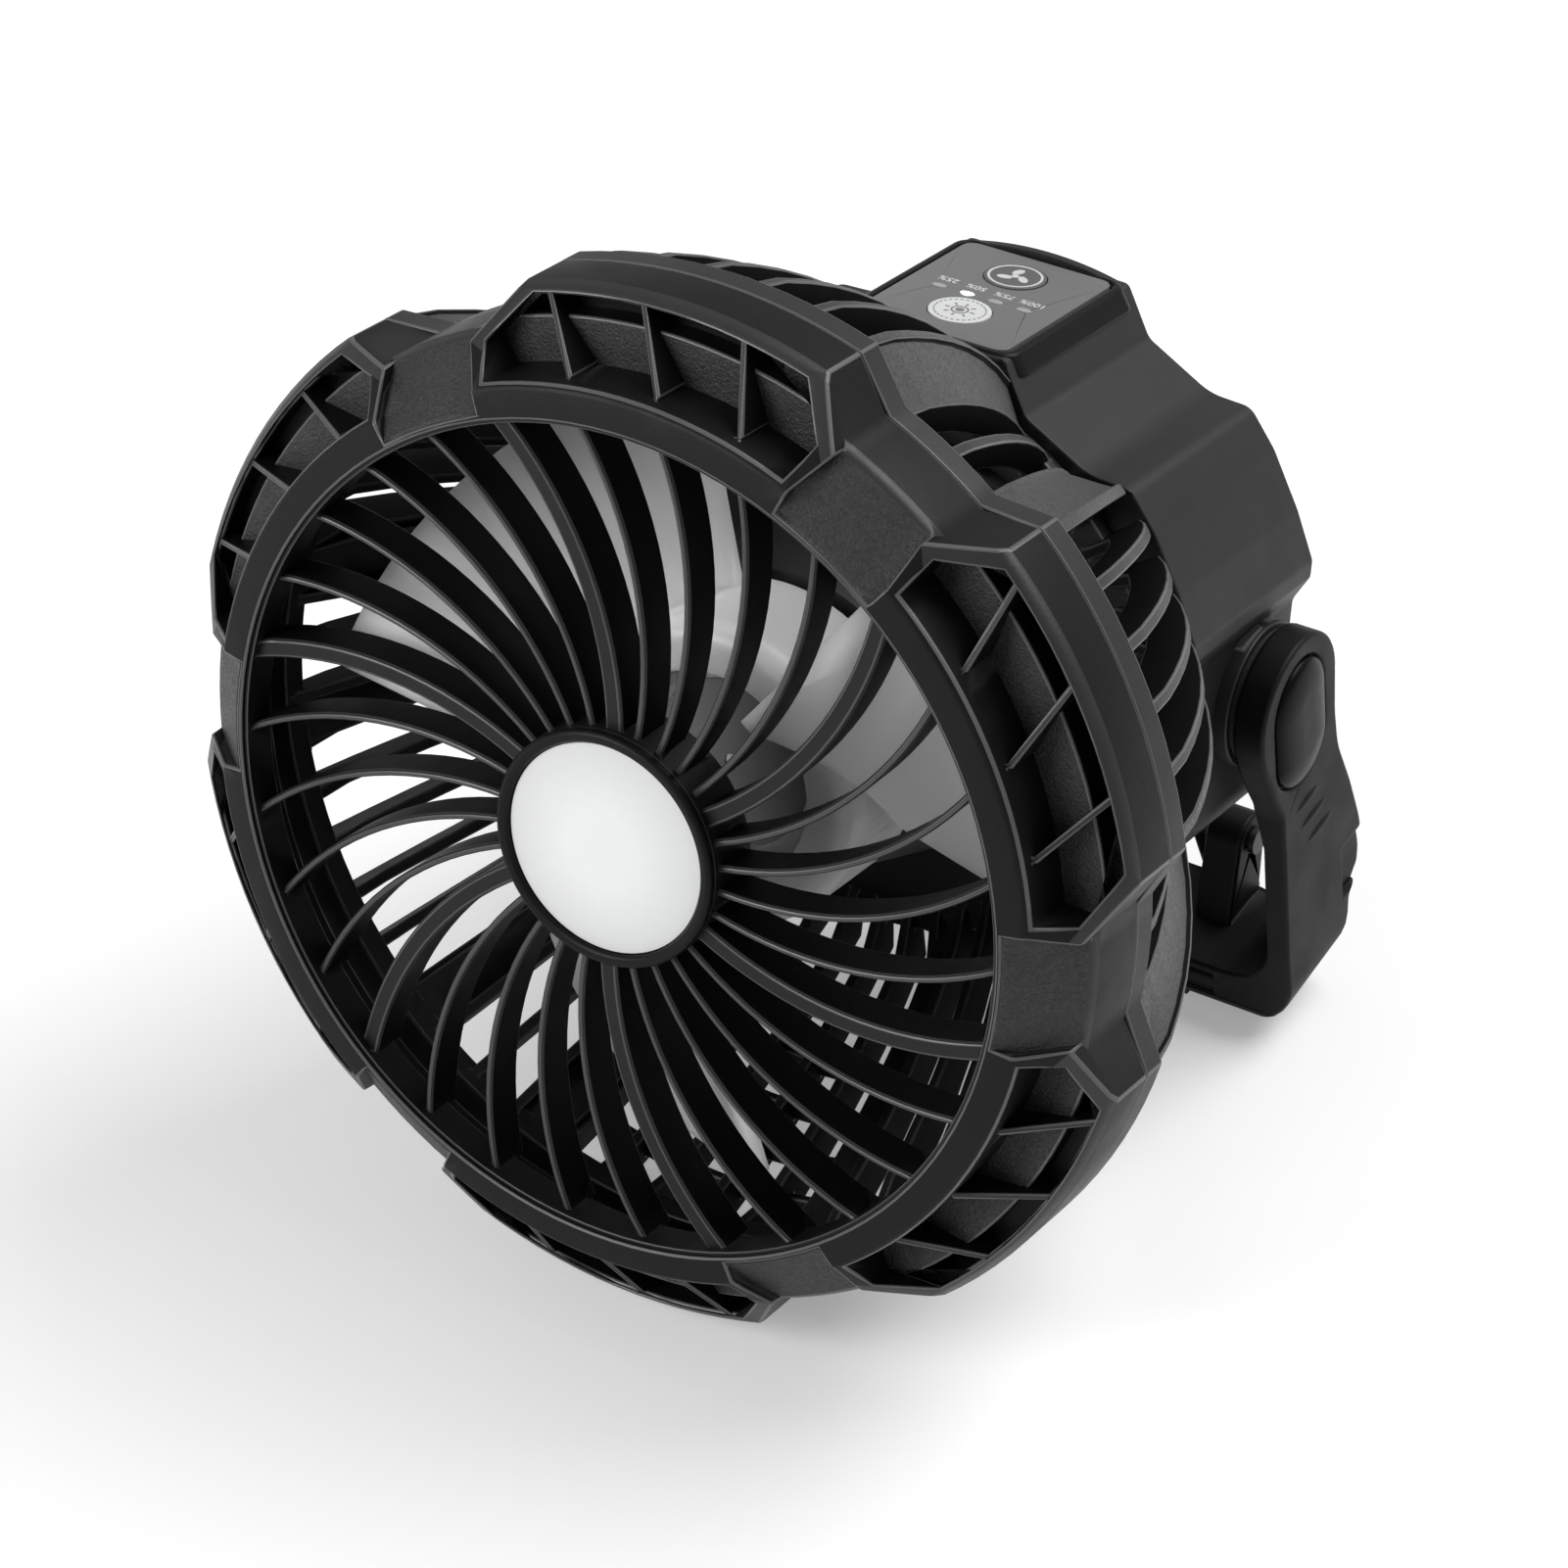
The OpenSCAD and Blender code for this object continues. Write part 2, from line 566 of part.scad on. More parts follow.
module mount_screws() color("#8c8f93") stance() axial() for (a = [45 : 90 : 315]) at_phi(a)
    translate([mount_screw_r, 0, plate_y - mount_flange_t]) {
        translate([0, 0, -2]) cylinder(r = 2.8, h = 2);
        cylinder(r = 1.5, h = mount_flange_t + 2.8);
    }

// ---- rear cage ----

// outline of the ring with its lugs, as seen from the front
module lug_outline() union() {
    circle(r = gap_r);
    for (a = lugs()) at_phi(a) intersection() {
        circle(r = lug_r);
        polygon([[60, 0], pol(gap_r - 1, -lug_foot - 0.7), pol(lug_r, -lug_top), pol(lug_r + 9, -lug_top + 8),
            pol(lug_r + 9, lug_top - 8), pol(lug_r, lug_top), pol(gap_r - 1, lug_foot + 0.7)]);
    }
}

// a fin: a flat plate whose outer edge follows the bow, lowered by step
module fin(step) rotate([90, 0, 0]) linear_extrude(fin_t, center = true) polygon(concat(
    [[ring_bore_r + 0.5, ring_split + 2], [dome_r(ring_back) - step - 1.4, ring_split + 2],
        [dome_r(ring_back) - step - 0.4, ring_back - 1.5]],
    [for (i = [1 : bow_steps]) [dome_r(bow_y(i)) - step, bow_y(i)]],
    [[plate_r - 6, cage_back - 0.5], [plate_r - 6, plate_y + 0.5]],
    [for (i = [bow_steps - 1 : -1 : 1])
        [dome_r(bow_y(i)) - step - fin_depth + (step > 0 ? 2 : 0), bow_y(i)]]));

// closed block at a lug's shoulder: it falls from the lug's bow to the gap's bow
function block_ring(i, a0, a1) = let (y = i == 0 ? ring_split + 2 : bow_y(i) - 0.3, r = dome_r(bow_y(i))) [
    concat(pol(r - fin_step - 3, a0), [y]), concat(pol(r - 0.2, a0), [y]),
    concat(pol(r - fin_step + 0.6, a1), [y]), concat(pol(r - fin_step - 3, a1), [y])];
module shoulder_block(a0, a1) {
    pts = [for (i = [0 : bow_steps]) each block_ring(i, a0, a1)];
    side = [for (i = [0 : bow_steps - 1], j = [0 : 3]) each
        let (a = 4 * i + j, b = 4 * i + (j + 1) % 4) a1 < a0
            ? [[a, b, b + 4], [a, b + 4, a + 4]] : [[a, b + 4, b], [a, a + 4, b + 4]]];
    m = 4 * bow_steps;
    ends = a1 < a0 ? [[0, 2, 1], [0, 3, 2], [m, m + 1, m + 2], [m, m + 2, m + 3]]
        : [[0, 1, 2], [0, 2, 3], [m, m + 2, m + 1], [m, m + 3, m + 2]];
    polyhedron(pts, concat(side, ends));
}

module rear_cage() color("#1f2022") stance() axial() difference() {
    union() {
        difference() {
            slab(ring_split, ring_back) lug_outline();
            cylinder(r = ring_bore_r, h = far);
        }
        translate([0, 0, plate_y]) cylinder(r = plate_r, h = cage_plate);
        for (a = lugs()) {
            for (s = [-3.5 : 1 : 3.5]) at_phi(a + s * fin_pitch) fin(abs(s) > 3 ? fin_step - 0.6 : 0);
            at_phi(a + lug_pitch / 2) fin(fin_step);
            at_phi(a) shoulder_block(2.5 * fin_pitch, 3.5 * fin_pitch);
            at_phi(a) shoulder_block(-2.5 * fin_pitch, -3.5 * fin_pitch);
        }
        for (y = [ring_back + hoop_pitch * 1.5 : hoop_pitch : plate_y - hoop_pitch])
            at_phi(180 - 2.5 * fin_pitch) rotate_extrude(angle = 5 * fin_pitch)
                translate([dome_r(y) - 5, y]) square([3, 2.2]);
    }
    for (a = lugs()) at_phi(a) translate([screw_ring_r, 0, 0]) cylinder(r = 1.5, h = 40);
    for (a = [45 : 90 : 315]) at_phi(a) translate([mount_screw_r, 0, plate_y - 1]) cylinder(r = 1.55, h = 4);
    for (p = cage_screws_xz) translate([p.x, -p.y, plate_y + 0.5]) cylinder(r = 1.55, h = 10);
    translate([0, 0, plate_y - 1]) cylinder(r = wire_hole_r, h = 10);
}

module bezel_screws() color("#8c8f93") stance() axial() for (a = lugs()) at_phi(a)
    translate([screw_ring_r, 0, 0]) {
        translate([0, 0, groove_floor + 3]) cylinder(r = 1.25, h = ring_back - groove_floor - 3);
        translate([0, 0, ring_back]) cylinder(r = 2.4, h = 1.4);
    }

// ---- housing ----

module panel_outline(grow) {
    w = panel_w / 2 + grow;
    y0 = panel_y0 - grow;
    y1 = panel_y0 + panel_len + grow;
    polygon(rounded([for (p = [[-w, y1], [w, y1], [w, y0], [-w, y0]]) [p.x, p.y, 2.6 + grow]]));
}

module housing() color("#333437") stance() difference() {
    union() {
        difference() {
            along_y(cage_back, body_back) polygon(rounded(body_corners));
            along_y(cage_back + body_wall, body_back + 5) polygon(rounded(body_corners, body_wall));
        }
        both_sides() translate([0, pivot_y, pivot_z]) {
            pin_x(arm_r - 0.3, body_half_w - 5.3, arm_in - washer_t - play);
            pin_x(insert_r + 3.5, insert_x[0] - 2.2, body_half_w - 4);
        }
        for (p = cover_screws_xz) translate([p.x, 0, p.y]) pin_y(cover_boss_r, cover_in - 18, cover_in);
        both_sides() for (y = [panel_y0 + 3, panel_y0 + panel_len - 3])
            translate([panel_w / 2 - 1.2, y, panel_bed - 7]) cylinder(r = 1.8, h = 6.6);
    }
    translate([0, 0, panel_bed]) linear_extrude(10) panel_outline(panel_gap);
    box([-panel_w / 2 + 2.6, panel_y0 + 2.2, body_top - 12],
        [panel_w / 2 - 2.6, panel_y0 + panel_len - 2.2, far]);
    both_sides() translate([0, pivot_y, pivot_z]) pin_x(insert_r + fit, insert_x[0] - 0.2, far);
    for (p = cover_screws_xz) translate([p.x, 0, p.y]) pin_y(1.3, cover_in - 14, cover_in + 9);
    for (p = cage_screws_xz) translate([p.x, 0, p.y]) pin_y(1.6, cage_back - 2, cage_back + 9);
    pin_y(wire_hole_r, cage_back - 2, cage_back + 9);
}

module cage_screws() color("#8c8f93") stance() for (p = cage_screws_xz) translate([p.x, 0, p.y]) {
    pin_y(1.5, plate_y + 1, cage_back + body_wall);
    pin_y(2.6, cage_back + body_wall, cage_back + body_wall + 1.8);
}

module rear_cover() color("#2e2f32") stance() difference() {
    union() {
        along_y(cover_in, body_back) polygon(rounded(body_corners, body_wall + fit));
        box([-36, body_back - bite, -34], [36, body_back + 0.8, 34]);
    }
    for (p = cover_screws_xz) translate([p.x, 0, p.y]) {
        pin_y(1.5, cover_in - 1, body_back + 5);
        pin_y(2.9, body_back - 1.2, body_back + 5);
    }
    box([-21, cover_in - 1, port_z - 0.3], [-10.6, body_back + 5, port_z + 3.5]);
    box([4.6, cover_in - 1, port_z - 0.3], [19.4, body_back + 5, port_z + 7.3]);
}

module cover_screws() color("#8c8f93") stance() for (p = cover_screws_xz) translate([p.x, 0, p.y]) {
    pin_y(1.25, cover_in - 13, body_back - 1.2);
    pin_y(2.7, body_back - 1.2, body_back + 0.6);
}

// ---- controls ----

module control_panel() color("#4a4b4e") stance() difference() {
    translate([0, 0, panel_bed]) linear_extrude(panel_t) panel_outline(0);
    for (y = [light_key_y, fan_key_y]) translate([0, y, 0]) cylinder(r = key_r + play / 2, h = far);
    for (k = [-1.5 : 1 : 1.5]) translate([k * lamp_pitch, lamp_row_y, 0]) cylinder(r = 1, h = far);
}

module key(y) translate([0, y, 0]) {
    translate([0, 0, panel_bed - 0.9]) cylinder(r = key_r, h = panel_t + 1.1);
    translate([0, 0, panel_bed - 0.9]) cylinder(r = key_r + 0.9, h = 0.6);
}
module fan_button() color("#3c3d40") stance() key(fan_key_y);
module light_button() color("#d9dadc") stance() key(light_key_y);

module indicator_lenses() color("#e8f2ff") stance() for (k = [-1.5 : 1 : 1.5])
    translate([k * lamp_pitch, lamp_row_y, panel_bed - 1]) cylinder(r = 0.95, h = panel_t + 1.05);

module control_board() color("#1f6b3a") stance()
    box([-panel_w / 2, panel_y0 + 0.6, panel_bed - 8.2],
        [panel_w / 2, panel_y0 + panel_len - 0.6, panel_bed - 7]);

module key_switches() color("#3a3a3a") stance() for (y = [light_key_y, fan_key_y]) translate([0, y, 0]) {
    box([-3, -3, panel_bed - 7], [3, 3, panel_bed - 3.4]);
    translate([0, 0, panel_bed - 3.4]) cylinder(r = 1.7, h = 2.5 - key_travel - 0.1);
}

// ---- battery and power ----

function cell_places() = [for (i = [0, 1], j = [0, 1]) [cell_y0 + i * cell_pitch, cell_z0 + j * cell_pitch]];
module battery_cells() color("#3f6fb5") stance() for (p = cell_places()) translate([0, p.x, p.y]) {
    pin_x(cell_r, -cell_len / 2, cell_len / 2 - 1.5);
    pin_x(4, cell_len / 2 - 1.6, cell_len / 2);
}

module battery_holder() color("#3a3b3d") stance() {
    y0 = cell_y0 - cell_r - 2.6;
    y1 = cell_y0 + cell_pitch + cell_r + 1.4;
    difference() {
        union() {
            both_sides() box([holder_half - 12, y0, cell_z0 - 7.4], [holder_half, y1, holder_top]);
            box([-holder_half, y0, holder_top - 1.8], [holder_half, y1, holder_top]);
        }
        for (p = cell_places()) translate([0, p.x, p.y])
            pin_x(cell_r + fit, -cell_len / 2 - fit, cell_len / 2 + fit);
    }
    both_sides() for (y = [y0 + 4, y1 - 4])
        translate([holder_half - 11, y, holder_top - bite]) cylinder(r = 2.4, h = post_h + bite);
}

module power_board() color("#1f6b3a") stance()
    box([6 - holder_half, cell_y0 - cell_r, board_z], [holder_half - 6, cover_in - 1, port_z]);

module charge_port() color("#a9acb0") stance() difference() {
    box([-20.3, cover_in - 6, port_z], [-11.3, cover_in + 1.8, port_z + 3.2]);
    box([-19.9, cover_in - 4, port_z + 0.4], [-11.7, body_back + 9, port_z + 2.8]);
}
module usb_port() color("#a9acb0") stance() difference() {
    box([5, cover_in - 12, port_z], [19, cover_in + 1.8, port_z + 7]);
    box([5.5, cover_in - 9, port_z + 0.5], [18.5, body_back + 9, port_z + 6.5]);
}

// ---- handle ----

module pivot_inserts() color("#c9a24a") stance() translate([0, pivot_y, pivot_z]) both_sides() difference() {
    pin_x(insert_r, insert_x[0], insert_x[1]);
    pin_x(bolt_r + 0.02, 0, far);
}

module pivot_washers() color("#1a1a1a") stance() translate([0, pivot_y, pivot_z]) both_sides() difference() {
    pin_x(arm_r - 1.6, arm_in - play - washer_t, arm_in - play);
    pin_x(bolt_r + 0.5, 0, far);
}

module pivot_bolts() color("#b9bcc0") stance() translate([0, pivot_y, pivot_z]) both_sides() {
    pin_x(bolt_r, insert_x[0] + 0.8, head_seat + play + bite);
    pin_x(head_r, head_seat + play, head_seat + play + head_t);
}

// side view of the handle, y backwards and z up from the pivot, as corners [y, z, radius]
arm_front = -8;
function down(t) = -t * wide_a;
arm_corners = [[arm_r, 0, 2], [arm_r - 0.7, -0.8 * arm_r, 30], [arm_r, down(0.38), 24],
    [arm_wide - 4.8, down(0.61), 40], [arm_wide - 1.6, down(0.82), 40], [arm_wide, down(1), 10],
    [arm_wide - 0.8, down(1.08), 3], [bar_back_y + 1.4, down(1.14), 4], [bar_back_y, bar_high - 4, 8],
    [bar_back_y - 2, bar_low + 2.4, 4], [bar_back_y - 6, bar_low, 4], [bar_front_y + 4, bar_low, 3],
    [bar_front_y + 0.6, bar_low + 3, 3], [bar_front_y, down(1.07), 40], [arm_front, down(0.61), 40],
    [arm_front, down(0.39), 12], [arm_front - 2.6, down(0.28), 20], [-arm_r + 0.8, -0.4 * arm_r, 20],
    [-arm_r, 0, 2]];
module arm_outline() {
    circle(r = arm_r);
    polygon(rounded(arm_corners));
}

// front view of the strap that the handle is cut from
function both(p) = concat(p, [for (i = [len(p) - 1 : -1 : 0]) [-p[i].x, p[i].y]]);
module strap_outline() {
    out_c = 14;
    in_c = 10;
    low_in = arm_in + 1.7;
    difference() {
        polygon(both(concat([[arm_out, arm_r + 2]],
            arc([arm_out - out_c, bar_low + out_c], out_c, 0, -90, 8))));
        polygon(both(concat([[arm_in, arm_r + 4], [arm_in, -arm_r - 8], [low_in, -arm_r - 18]],
            arc([low_in - in_c, bar_high + in_c], in_c, 0, -90, 6))));
    }
}

module cap_outline(r) {
    for (z = cap_z) translate([0, z]) circle(r = r);
    translate([-r, cap_z[1]]) square([2 * r, cap_z[0] - cap_z[1]]);
}

module hook_lug() across_x(lug_in, lug_in + lug_wide) {
    translate([hook_y, hook_z]) circle(r = 5.6);
    polygon([[hook_y - 5.5, hook_z + 1], [hook_y + 5.5, hook_z - 1], [bar_back_y - 0.2, bar_high - 3],
        [3, bar_high - 3], [4, bar_high + 2]]);
}

module handle() color("#2b2c2e") stance() handle_frame() difference() {
    union() {
        intersection() {
            across_x(-arm_out - 1, arm_out + 1) arm_outline();
            along_y(-40, 40) strap_outline();
        }
        both_sides() hook_lug();
    }
    both_sides() {
        pin_x(bolt_r + run, arm_in - 9, arm_out + 9);
        pin_x(head_r + play, head_seat, arm_out + 9);
        across_x(arm_out - cap_recess, arm_out + 9) cap_outline(cap_r + fit);
        translate([0, hook_y, hook_z]) pin_x(wire_r + run, lug_in - 9, lug_in + lug_wide + 9);
    }
    box([-pad_half_w - fit, pad_y[0] - fit, bar_low - 9],
        [pad_half_w + fit, pad_y[1] + fit, bar_low + pad_sink]);
    for (z = [bar_high - 2.6, bar_high - 7]) box([-52, bar_front_y - 5, z], [52, bar_front_y + 0.9, z + 1]);
    both_sides() box([arm_out - 1.2, arm_wide - 9, -wide_a - 6], [arm_out + 9, far, -wide_a + 6]);
}

module arm_caps() color("#2b2c2e") stance() handle_frame() both_sides() {
    across_x(arm_out - cap_recess, arm_out + 1.2) cap_outline(cap_r);
    across_x(arm_out + 1, arm_out + 2.3) cap_outline(cap_r - 1.1);
    across_x(arm_out + 2, arm_out + 3) cap_outline(cap_r - 3);
}

module foot_strip() color("#161616") intersection() {
    stance() handle_frame()
        box([-pad_half_w, pad_y[0], bar_low - 9], [pad_half_w, pad_y[1], bar_low + pad_sink]);
    box([-far, -far, 0], [far, far, far]);
}

module hanging_hook() color("#2a2a2a") stance() handle_frame() translate([0, hook_y, hook_z]) {
    pin_end = lug_in + lug_wide + play;
    both_sides() {
        pin_x(wire_r, hook_half_w, pin_end + 0.5);
        pin_x(wire_r + 0.8, pin_end, pin_end + 1.2);
        translate([hook_half_w, 0, 0]) sphere(r = wire_r + 0.2);
        translate([hook_half_w, 0, 0]) rotate([180 + fold, 0, 0]) cylinder(r = wire_r, h = hook_len);
    }
    rotate([180 + fold, 0, 0]) translate([0, 0, hook_len]) {
        pin_x(wire_r, -hook_half_w, hook_half_w);
        both_sides() translate([hook_half_w, 0, 0]) sphere(r = wire_r + 0.2);
    }
}

front_bezel();
grille();
grille_screws();
lamp_trim();
lamp_lens();
lamp_board();
lamp_chips();
impeller();
motor_rotor();
rotor_magnet();
motor_shaft();
motor_base();
stator_core();
stator_coils();
motor_bearings();
motor_mount();
mount_screws();
rear_cage();
bezel_screws();
housing();
cage_screws();
rear_cover();
cover_screws();
control_panel();
fan_button();
light_button();
indicator_lenses();
control_board();
key_switches();
battery_cells();
battery_holder();
power_board();
charge_port();
usb_port();
pivot_inserts();
pivot_washers();
pivot_bolts();
handle();
arm_caps();
foot_strip();
hanging_hook();
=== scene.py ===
# %% [markdown]
# # Dressing a portable camping fan
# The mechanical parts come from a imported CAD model, which stands still while we work around
# it. The camera, the lights and every finish are made here, and so are the shapes that look
# better modelled than machined: soft plastic edges, printed symbols and small trim.
#
# The fan leans back on its handle. So that sizes stay easy to read, most pieces are modelled
# in the fan's own frame, where Y runs along the fan's axis, and are leaned back at the end.

# %% Load the fixed frame
import json
import math
import bmesh
import bpy
from mathutils import Matrix, Vector
from mathutils.bvhtree import BVHTree


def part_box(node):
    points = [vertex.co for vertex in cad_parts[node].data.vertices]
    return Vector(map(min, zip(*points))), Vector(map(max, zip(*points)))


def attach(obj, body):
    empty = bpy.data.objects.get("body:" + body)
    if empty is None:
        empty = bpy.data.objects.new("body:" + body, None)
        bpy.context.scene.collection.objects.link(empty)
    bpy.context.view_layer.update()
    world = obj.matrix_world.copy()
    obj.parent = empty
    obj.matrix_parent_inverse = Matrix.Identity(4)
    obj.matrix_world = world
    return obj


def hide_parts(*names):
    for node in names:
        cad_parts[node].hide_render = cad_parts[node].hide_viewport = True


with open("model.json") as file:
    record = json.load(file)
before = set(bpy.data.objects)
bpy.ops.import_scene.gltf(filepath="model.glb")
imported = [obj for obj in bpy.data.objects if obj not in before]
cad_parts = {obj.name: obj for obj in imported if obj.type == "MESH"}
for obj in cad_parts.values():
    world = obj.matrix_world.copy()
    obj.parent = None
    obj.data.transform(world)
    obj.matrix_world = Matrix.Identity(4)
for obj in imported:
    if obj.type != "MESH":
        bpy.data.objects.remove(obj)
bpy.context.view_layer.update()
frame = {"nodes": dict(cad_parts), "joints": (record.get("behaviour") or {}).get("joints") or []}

MM = 0.001
JOINTS = {joint["name"]: joint for joint in frame["joints"]}

# %% [markdown]
# ## The fan's own frame
# The spin joint of the impeller gives both the direction of the fan's axis and a point on it.
# From these two we get one matrix that carries anything modelled in the upright fan frame
# into its leaning place. Reading it from the joint keeps this script true if the lean changes.

# %% Matrices for the head and the handle
axis = Vector(JOINTS["fan_spin"]["axis"])
LEAN = math.atan2(-axis.z, axis.y)
SPIN_Y = 36 * MM  # the spin joint's place along the fan axis
origin = Vector(JOINTS["fan_spin"]["pos_m"]) - axis * SPIN_Y
FAN = Matrix.Translation(origin) @ Matrix.Rotation(-LEAN, 4, "X")
HANDLE_REST = math.radians(16.7)  # the handle's angle behind straight down
pivot = Vector(JOINTS["handle_swing"]["pos_m"])
HANDLE = Matrix.Translation(pivot) @ Matrix.Rotation(HANDLE_REST - LEAN, 4, "X")
TO_FAN = FAN.inverted()
print("the fan leans back by %.1f degrees" % math.degrees(LEAN))

# %% [markdown]
# ## The camera
# A long lens from a little more than a metre away, above and to the right of the lamp. A
# long lens keeps the six lugs of the ring alike in size, as a catalogue picture does.

# %% Camera
LENS_LENGTH = 119.2  # millimetres
SENSOR_WIDTH = 36  # millimetres
CAMERA_PLACE = (0.4274, -0.6779, 0.6356)
CAMERA_TURN = (54.838, 0.778, 32.395)  # degrees about X, Y and Z

bpy.ops.object.select_all(action="DESELECT")
camera_data = bpy.data.cameras.new("camera")
camera_data.lens = LENS_LENGTH
camera_data.sensor_width = SENSOR_WIDTH
camera = bpy.data.objects.new("camera", camera_data)
camera.location = CAMERA_PLACE
camera.rotation_euler = [math.radians(angle) for angle in CAMERA_TURN]
bpy.context.scene.collection.objects.link(camera)
bpy.context.scene.camera = camera
print("camera: %.0f mm lens, %.2f m away" % (LENS_LENGTH, Vector(CAMERA_PLACE).length))

# %% [markdown]
# ## A plain white studio
# Black plastic shows its shape mostly by what it reflects. A pale room gives every edge a
# soft pale line, one large lamp behind, above and to the right draws the tops, and another,
# nearly as strong, opens the shadows from the front left. The lamps stay at a plain level, so
# that a colour renders about as it is written. The background is white because the camera,
# mirrors and clear pieces see a little more light from the floor and the room than the fan
# receives from them.

# %% White that only the camera, mirrors and clear pieces see
SEEN_WHITE = 0.3


def camera_white(tree, surface, shader="ShaderNodeEmission"):
    """Adds the extra white to a surface, or to the room, and returns the sum."""
    path = tree.nodes.new("ShaderNodeLightPath")
    value = path.outputs["Is Camera Ray"]
    for ray in ("Is Glossy Ray", "Is Transmission Ray"):
        either = tree.nodes.new("ShaderNodeMath")
        either.operation = "MAXIMUM"
        tree.links.new(value, either.inputs[0])
        tree.links.new(path.outputs[ray], either.inputs[1])
        value = either.outputs[0]
    seen = tree.nodes.new("ShaderNodeMath")
    seen.operation = "MULTIPLY"
    seen.inputs[1].default_value = SEEN_WHITE
    glow = tree.nodes.new(shader)
    both = tree.nodes.new("ShaderNodeAddShader")
    tree.links.new(value, seen.inputs[0])
    tree.links.new(seen.outputs[0], glow.inputs["Strength"])
    tree.links.new(surface, both.inputs[0])
    tree.links.new(glow.outputs[0], both.inputs[1])
    return both.outputs[0]


# %% The floor
HALF_FLOOR = 3.0  # metres
FLOOR_WHITE = 0.8
FLOOR_ROUGH = 0.9

floor_mesh = bpy.data.meshes.new("studio_floor")
corners = [(x * HALF_FLOOR, y * HALF_FLOOR, 0) for x, y in ((-1, -1), (1, -1), (1, 1), (-1, 1))]
floor_mesh.from_pydata(corners, [], [(0, 1, 2, 3)])
floor = bpy.data.objects.new("studio_floor", floor_mesh)
bpy.context.scene.collection.objects.link(floor)
floor_paint = bpy.data.materials.new("studio_floor")
floor_paint.use_nodes = True
tree = floor_paint.node_tree
paint = tree.nodes["Principled BSDF"]
paint.inputs["Base Color"].default_value = (FLOOR_WHITE, FLOOR_WHITE, FLOOR_WHITE, 1)
paint.inputs["Roughness"].default_value = FLOOR_ROUGH
tree.links.new(camera_white(tree, paint.outputs[0]), tree.nodes["Material Output"].inputs[0])
floor_mesh.materials.append(floor_paint)
print("floor:", 2 * HALF_FLOOR, "m across")

# %% The room
ROOM_LIGHT = 0.25

bpy.context.scene.view_settings.view_transform = "Standard"
world = bpy.data.worlds.new("studio")
bpy.context.scene.world = world
world.use_nodes = True
tree = world.node_tree
room = tree.nodes["Background"]
room.inputs["Color"].default_value = (1, 1, 1, 1)
room.inputs["Strength"].default_value = ROOM_LIGHT
tree.links.new(camera_white(tree, room.outputs[0], "ShaderNodeBackground"),
               tree.nodes["World Output"].inputs[0])
print("room light:", ROOM_LIGHT)

# %% The lamps
FAN_MIDDLE = (0, 0, 0.1)


def softbox(name, place, size, watts):
    """A large square lamp at `place` that faces the fan."""
    data = bpy.data.lights.new(name, "AREA")
    data.size = size
    data.energy = watts
    lamp = bpy.data.objects.new(name, data)
    lamp.location = place
    lamp.rotation_euler = (Vector(FAN_MIDDLE) - Vector(place)).to_track_quat("-Z", "Y").to_euler()
    bpy.context.scene.collection.objects.link(lamp)
    print("%s: %g m wide, %g W" % (name, size, watts))


softbox("top_back_box", place=(0.55, 0.6, 1.2), size=1.0, watts=17)
softbox("front_box", place=(-0.7, -1.2, 0.75), size=0.8, watts=15)

# %% [markdown]
# ## A few helpers for materials
# A finish is a small network of nodes, and most finishes here need the same few steps: read
# the piece's own coordinates, make soft noise from them, map it to a useful range, and use it
# to blend two colours or to raise the surface. Each step is a short function, so that a
# finish reads like a recipe.

# %% Material helpers


def finish(name):
    """A new material: its node tree, its shader and the piece's own coordinates."""
    material = bpy.data.materials.new(name)
    material.use_nodes = True
    tree = material.node_tree
    place = tree.nodes.new("ShaderNodeTexCoord").outputs["Object"]
    return material, tree, tree.nodes["Principled BSDF"], place


def noise(tree, place, size, detail=2.0):
    """Soft noise with patches about `size` metres across."""
    node = tree.nodes.new("ShaderNodeTexNoise")
    node.inputs["Scale"].default_value = 1 / size
    node.inputs["Detail"].default_value = detail
    tree.links.new(place, node.inputs["Vector"])
    return node.outputs["Fac"]


def spread(tree, value, low, high, start=0.3, end=0.7):
    """Maps a value between start and end to the range from low to high."""
    node = tree.nodes.new("ShaderNodeMapRange")
    node.inputs["From Min"].default_value = start
    node.inputs["From Max"].default_value = end
    node.inputs["To Min"].default_value = low
    node.inputs["To Max"].default_value = high
    tree.links.new(value, node.inputs["Value"])
    return node.outputs["Result"]


def blend_colours(tree, value, first, second):
    """A colour between two, by a value from 0 to 1."""
    node = tree.nodes.new("ShaderNodeMix")
    node.data_type = "RGBA"
    node.inputs["A"].default_value = (*first, 1)
    node.inputs["B"].default_value = (*second, 1)
    tree.links.new(value, node.inputs["Factor"])
    return node.outputs["Result"]


def bump(tree, shader, height, depth, strength=1.0):
    """Raises the surface by up to `depth` metres."""
    node = tree.nodes.new("ShaderNodeBump")
    node.inputs["Distance"].default_value = depth
    node.inputs["Strength"].default_value = strength
    tree.links.new(height, node.inputs["Height"])
    tree.links.new(node.outputs["Normal"], shader.inputs["Normal"])


# %% [markdown]
# ## Moulded plastic
# A moulded part isn't one flat colour. Its tint drifts a little, its gloss is uneven where
# the tool was polished differently, and a fine grain breaks up its highlights. All three come
# from noise on the object's own coordinates, so that they stay put when the part moves.

# %% Moulded plastic
TINT_PATCH = 30 * MM  # size of the patches of darker and paler tint
GLOSS_PATCH = 9 * MM  # size of the patches of duller and shinier plastic


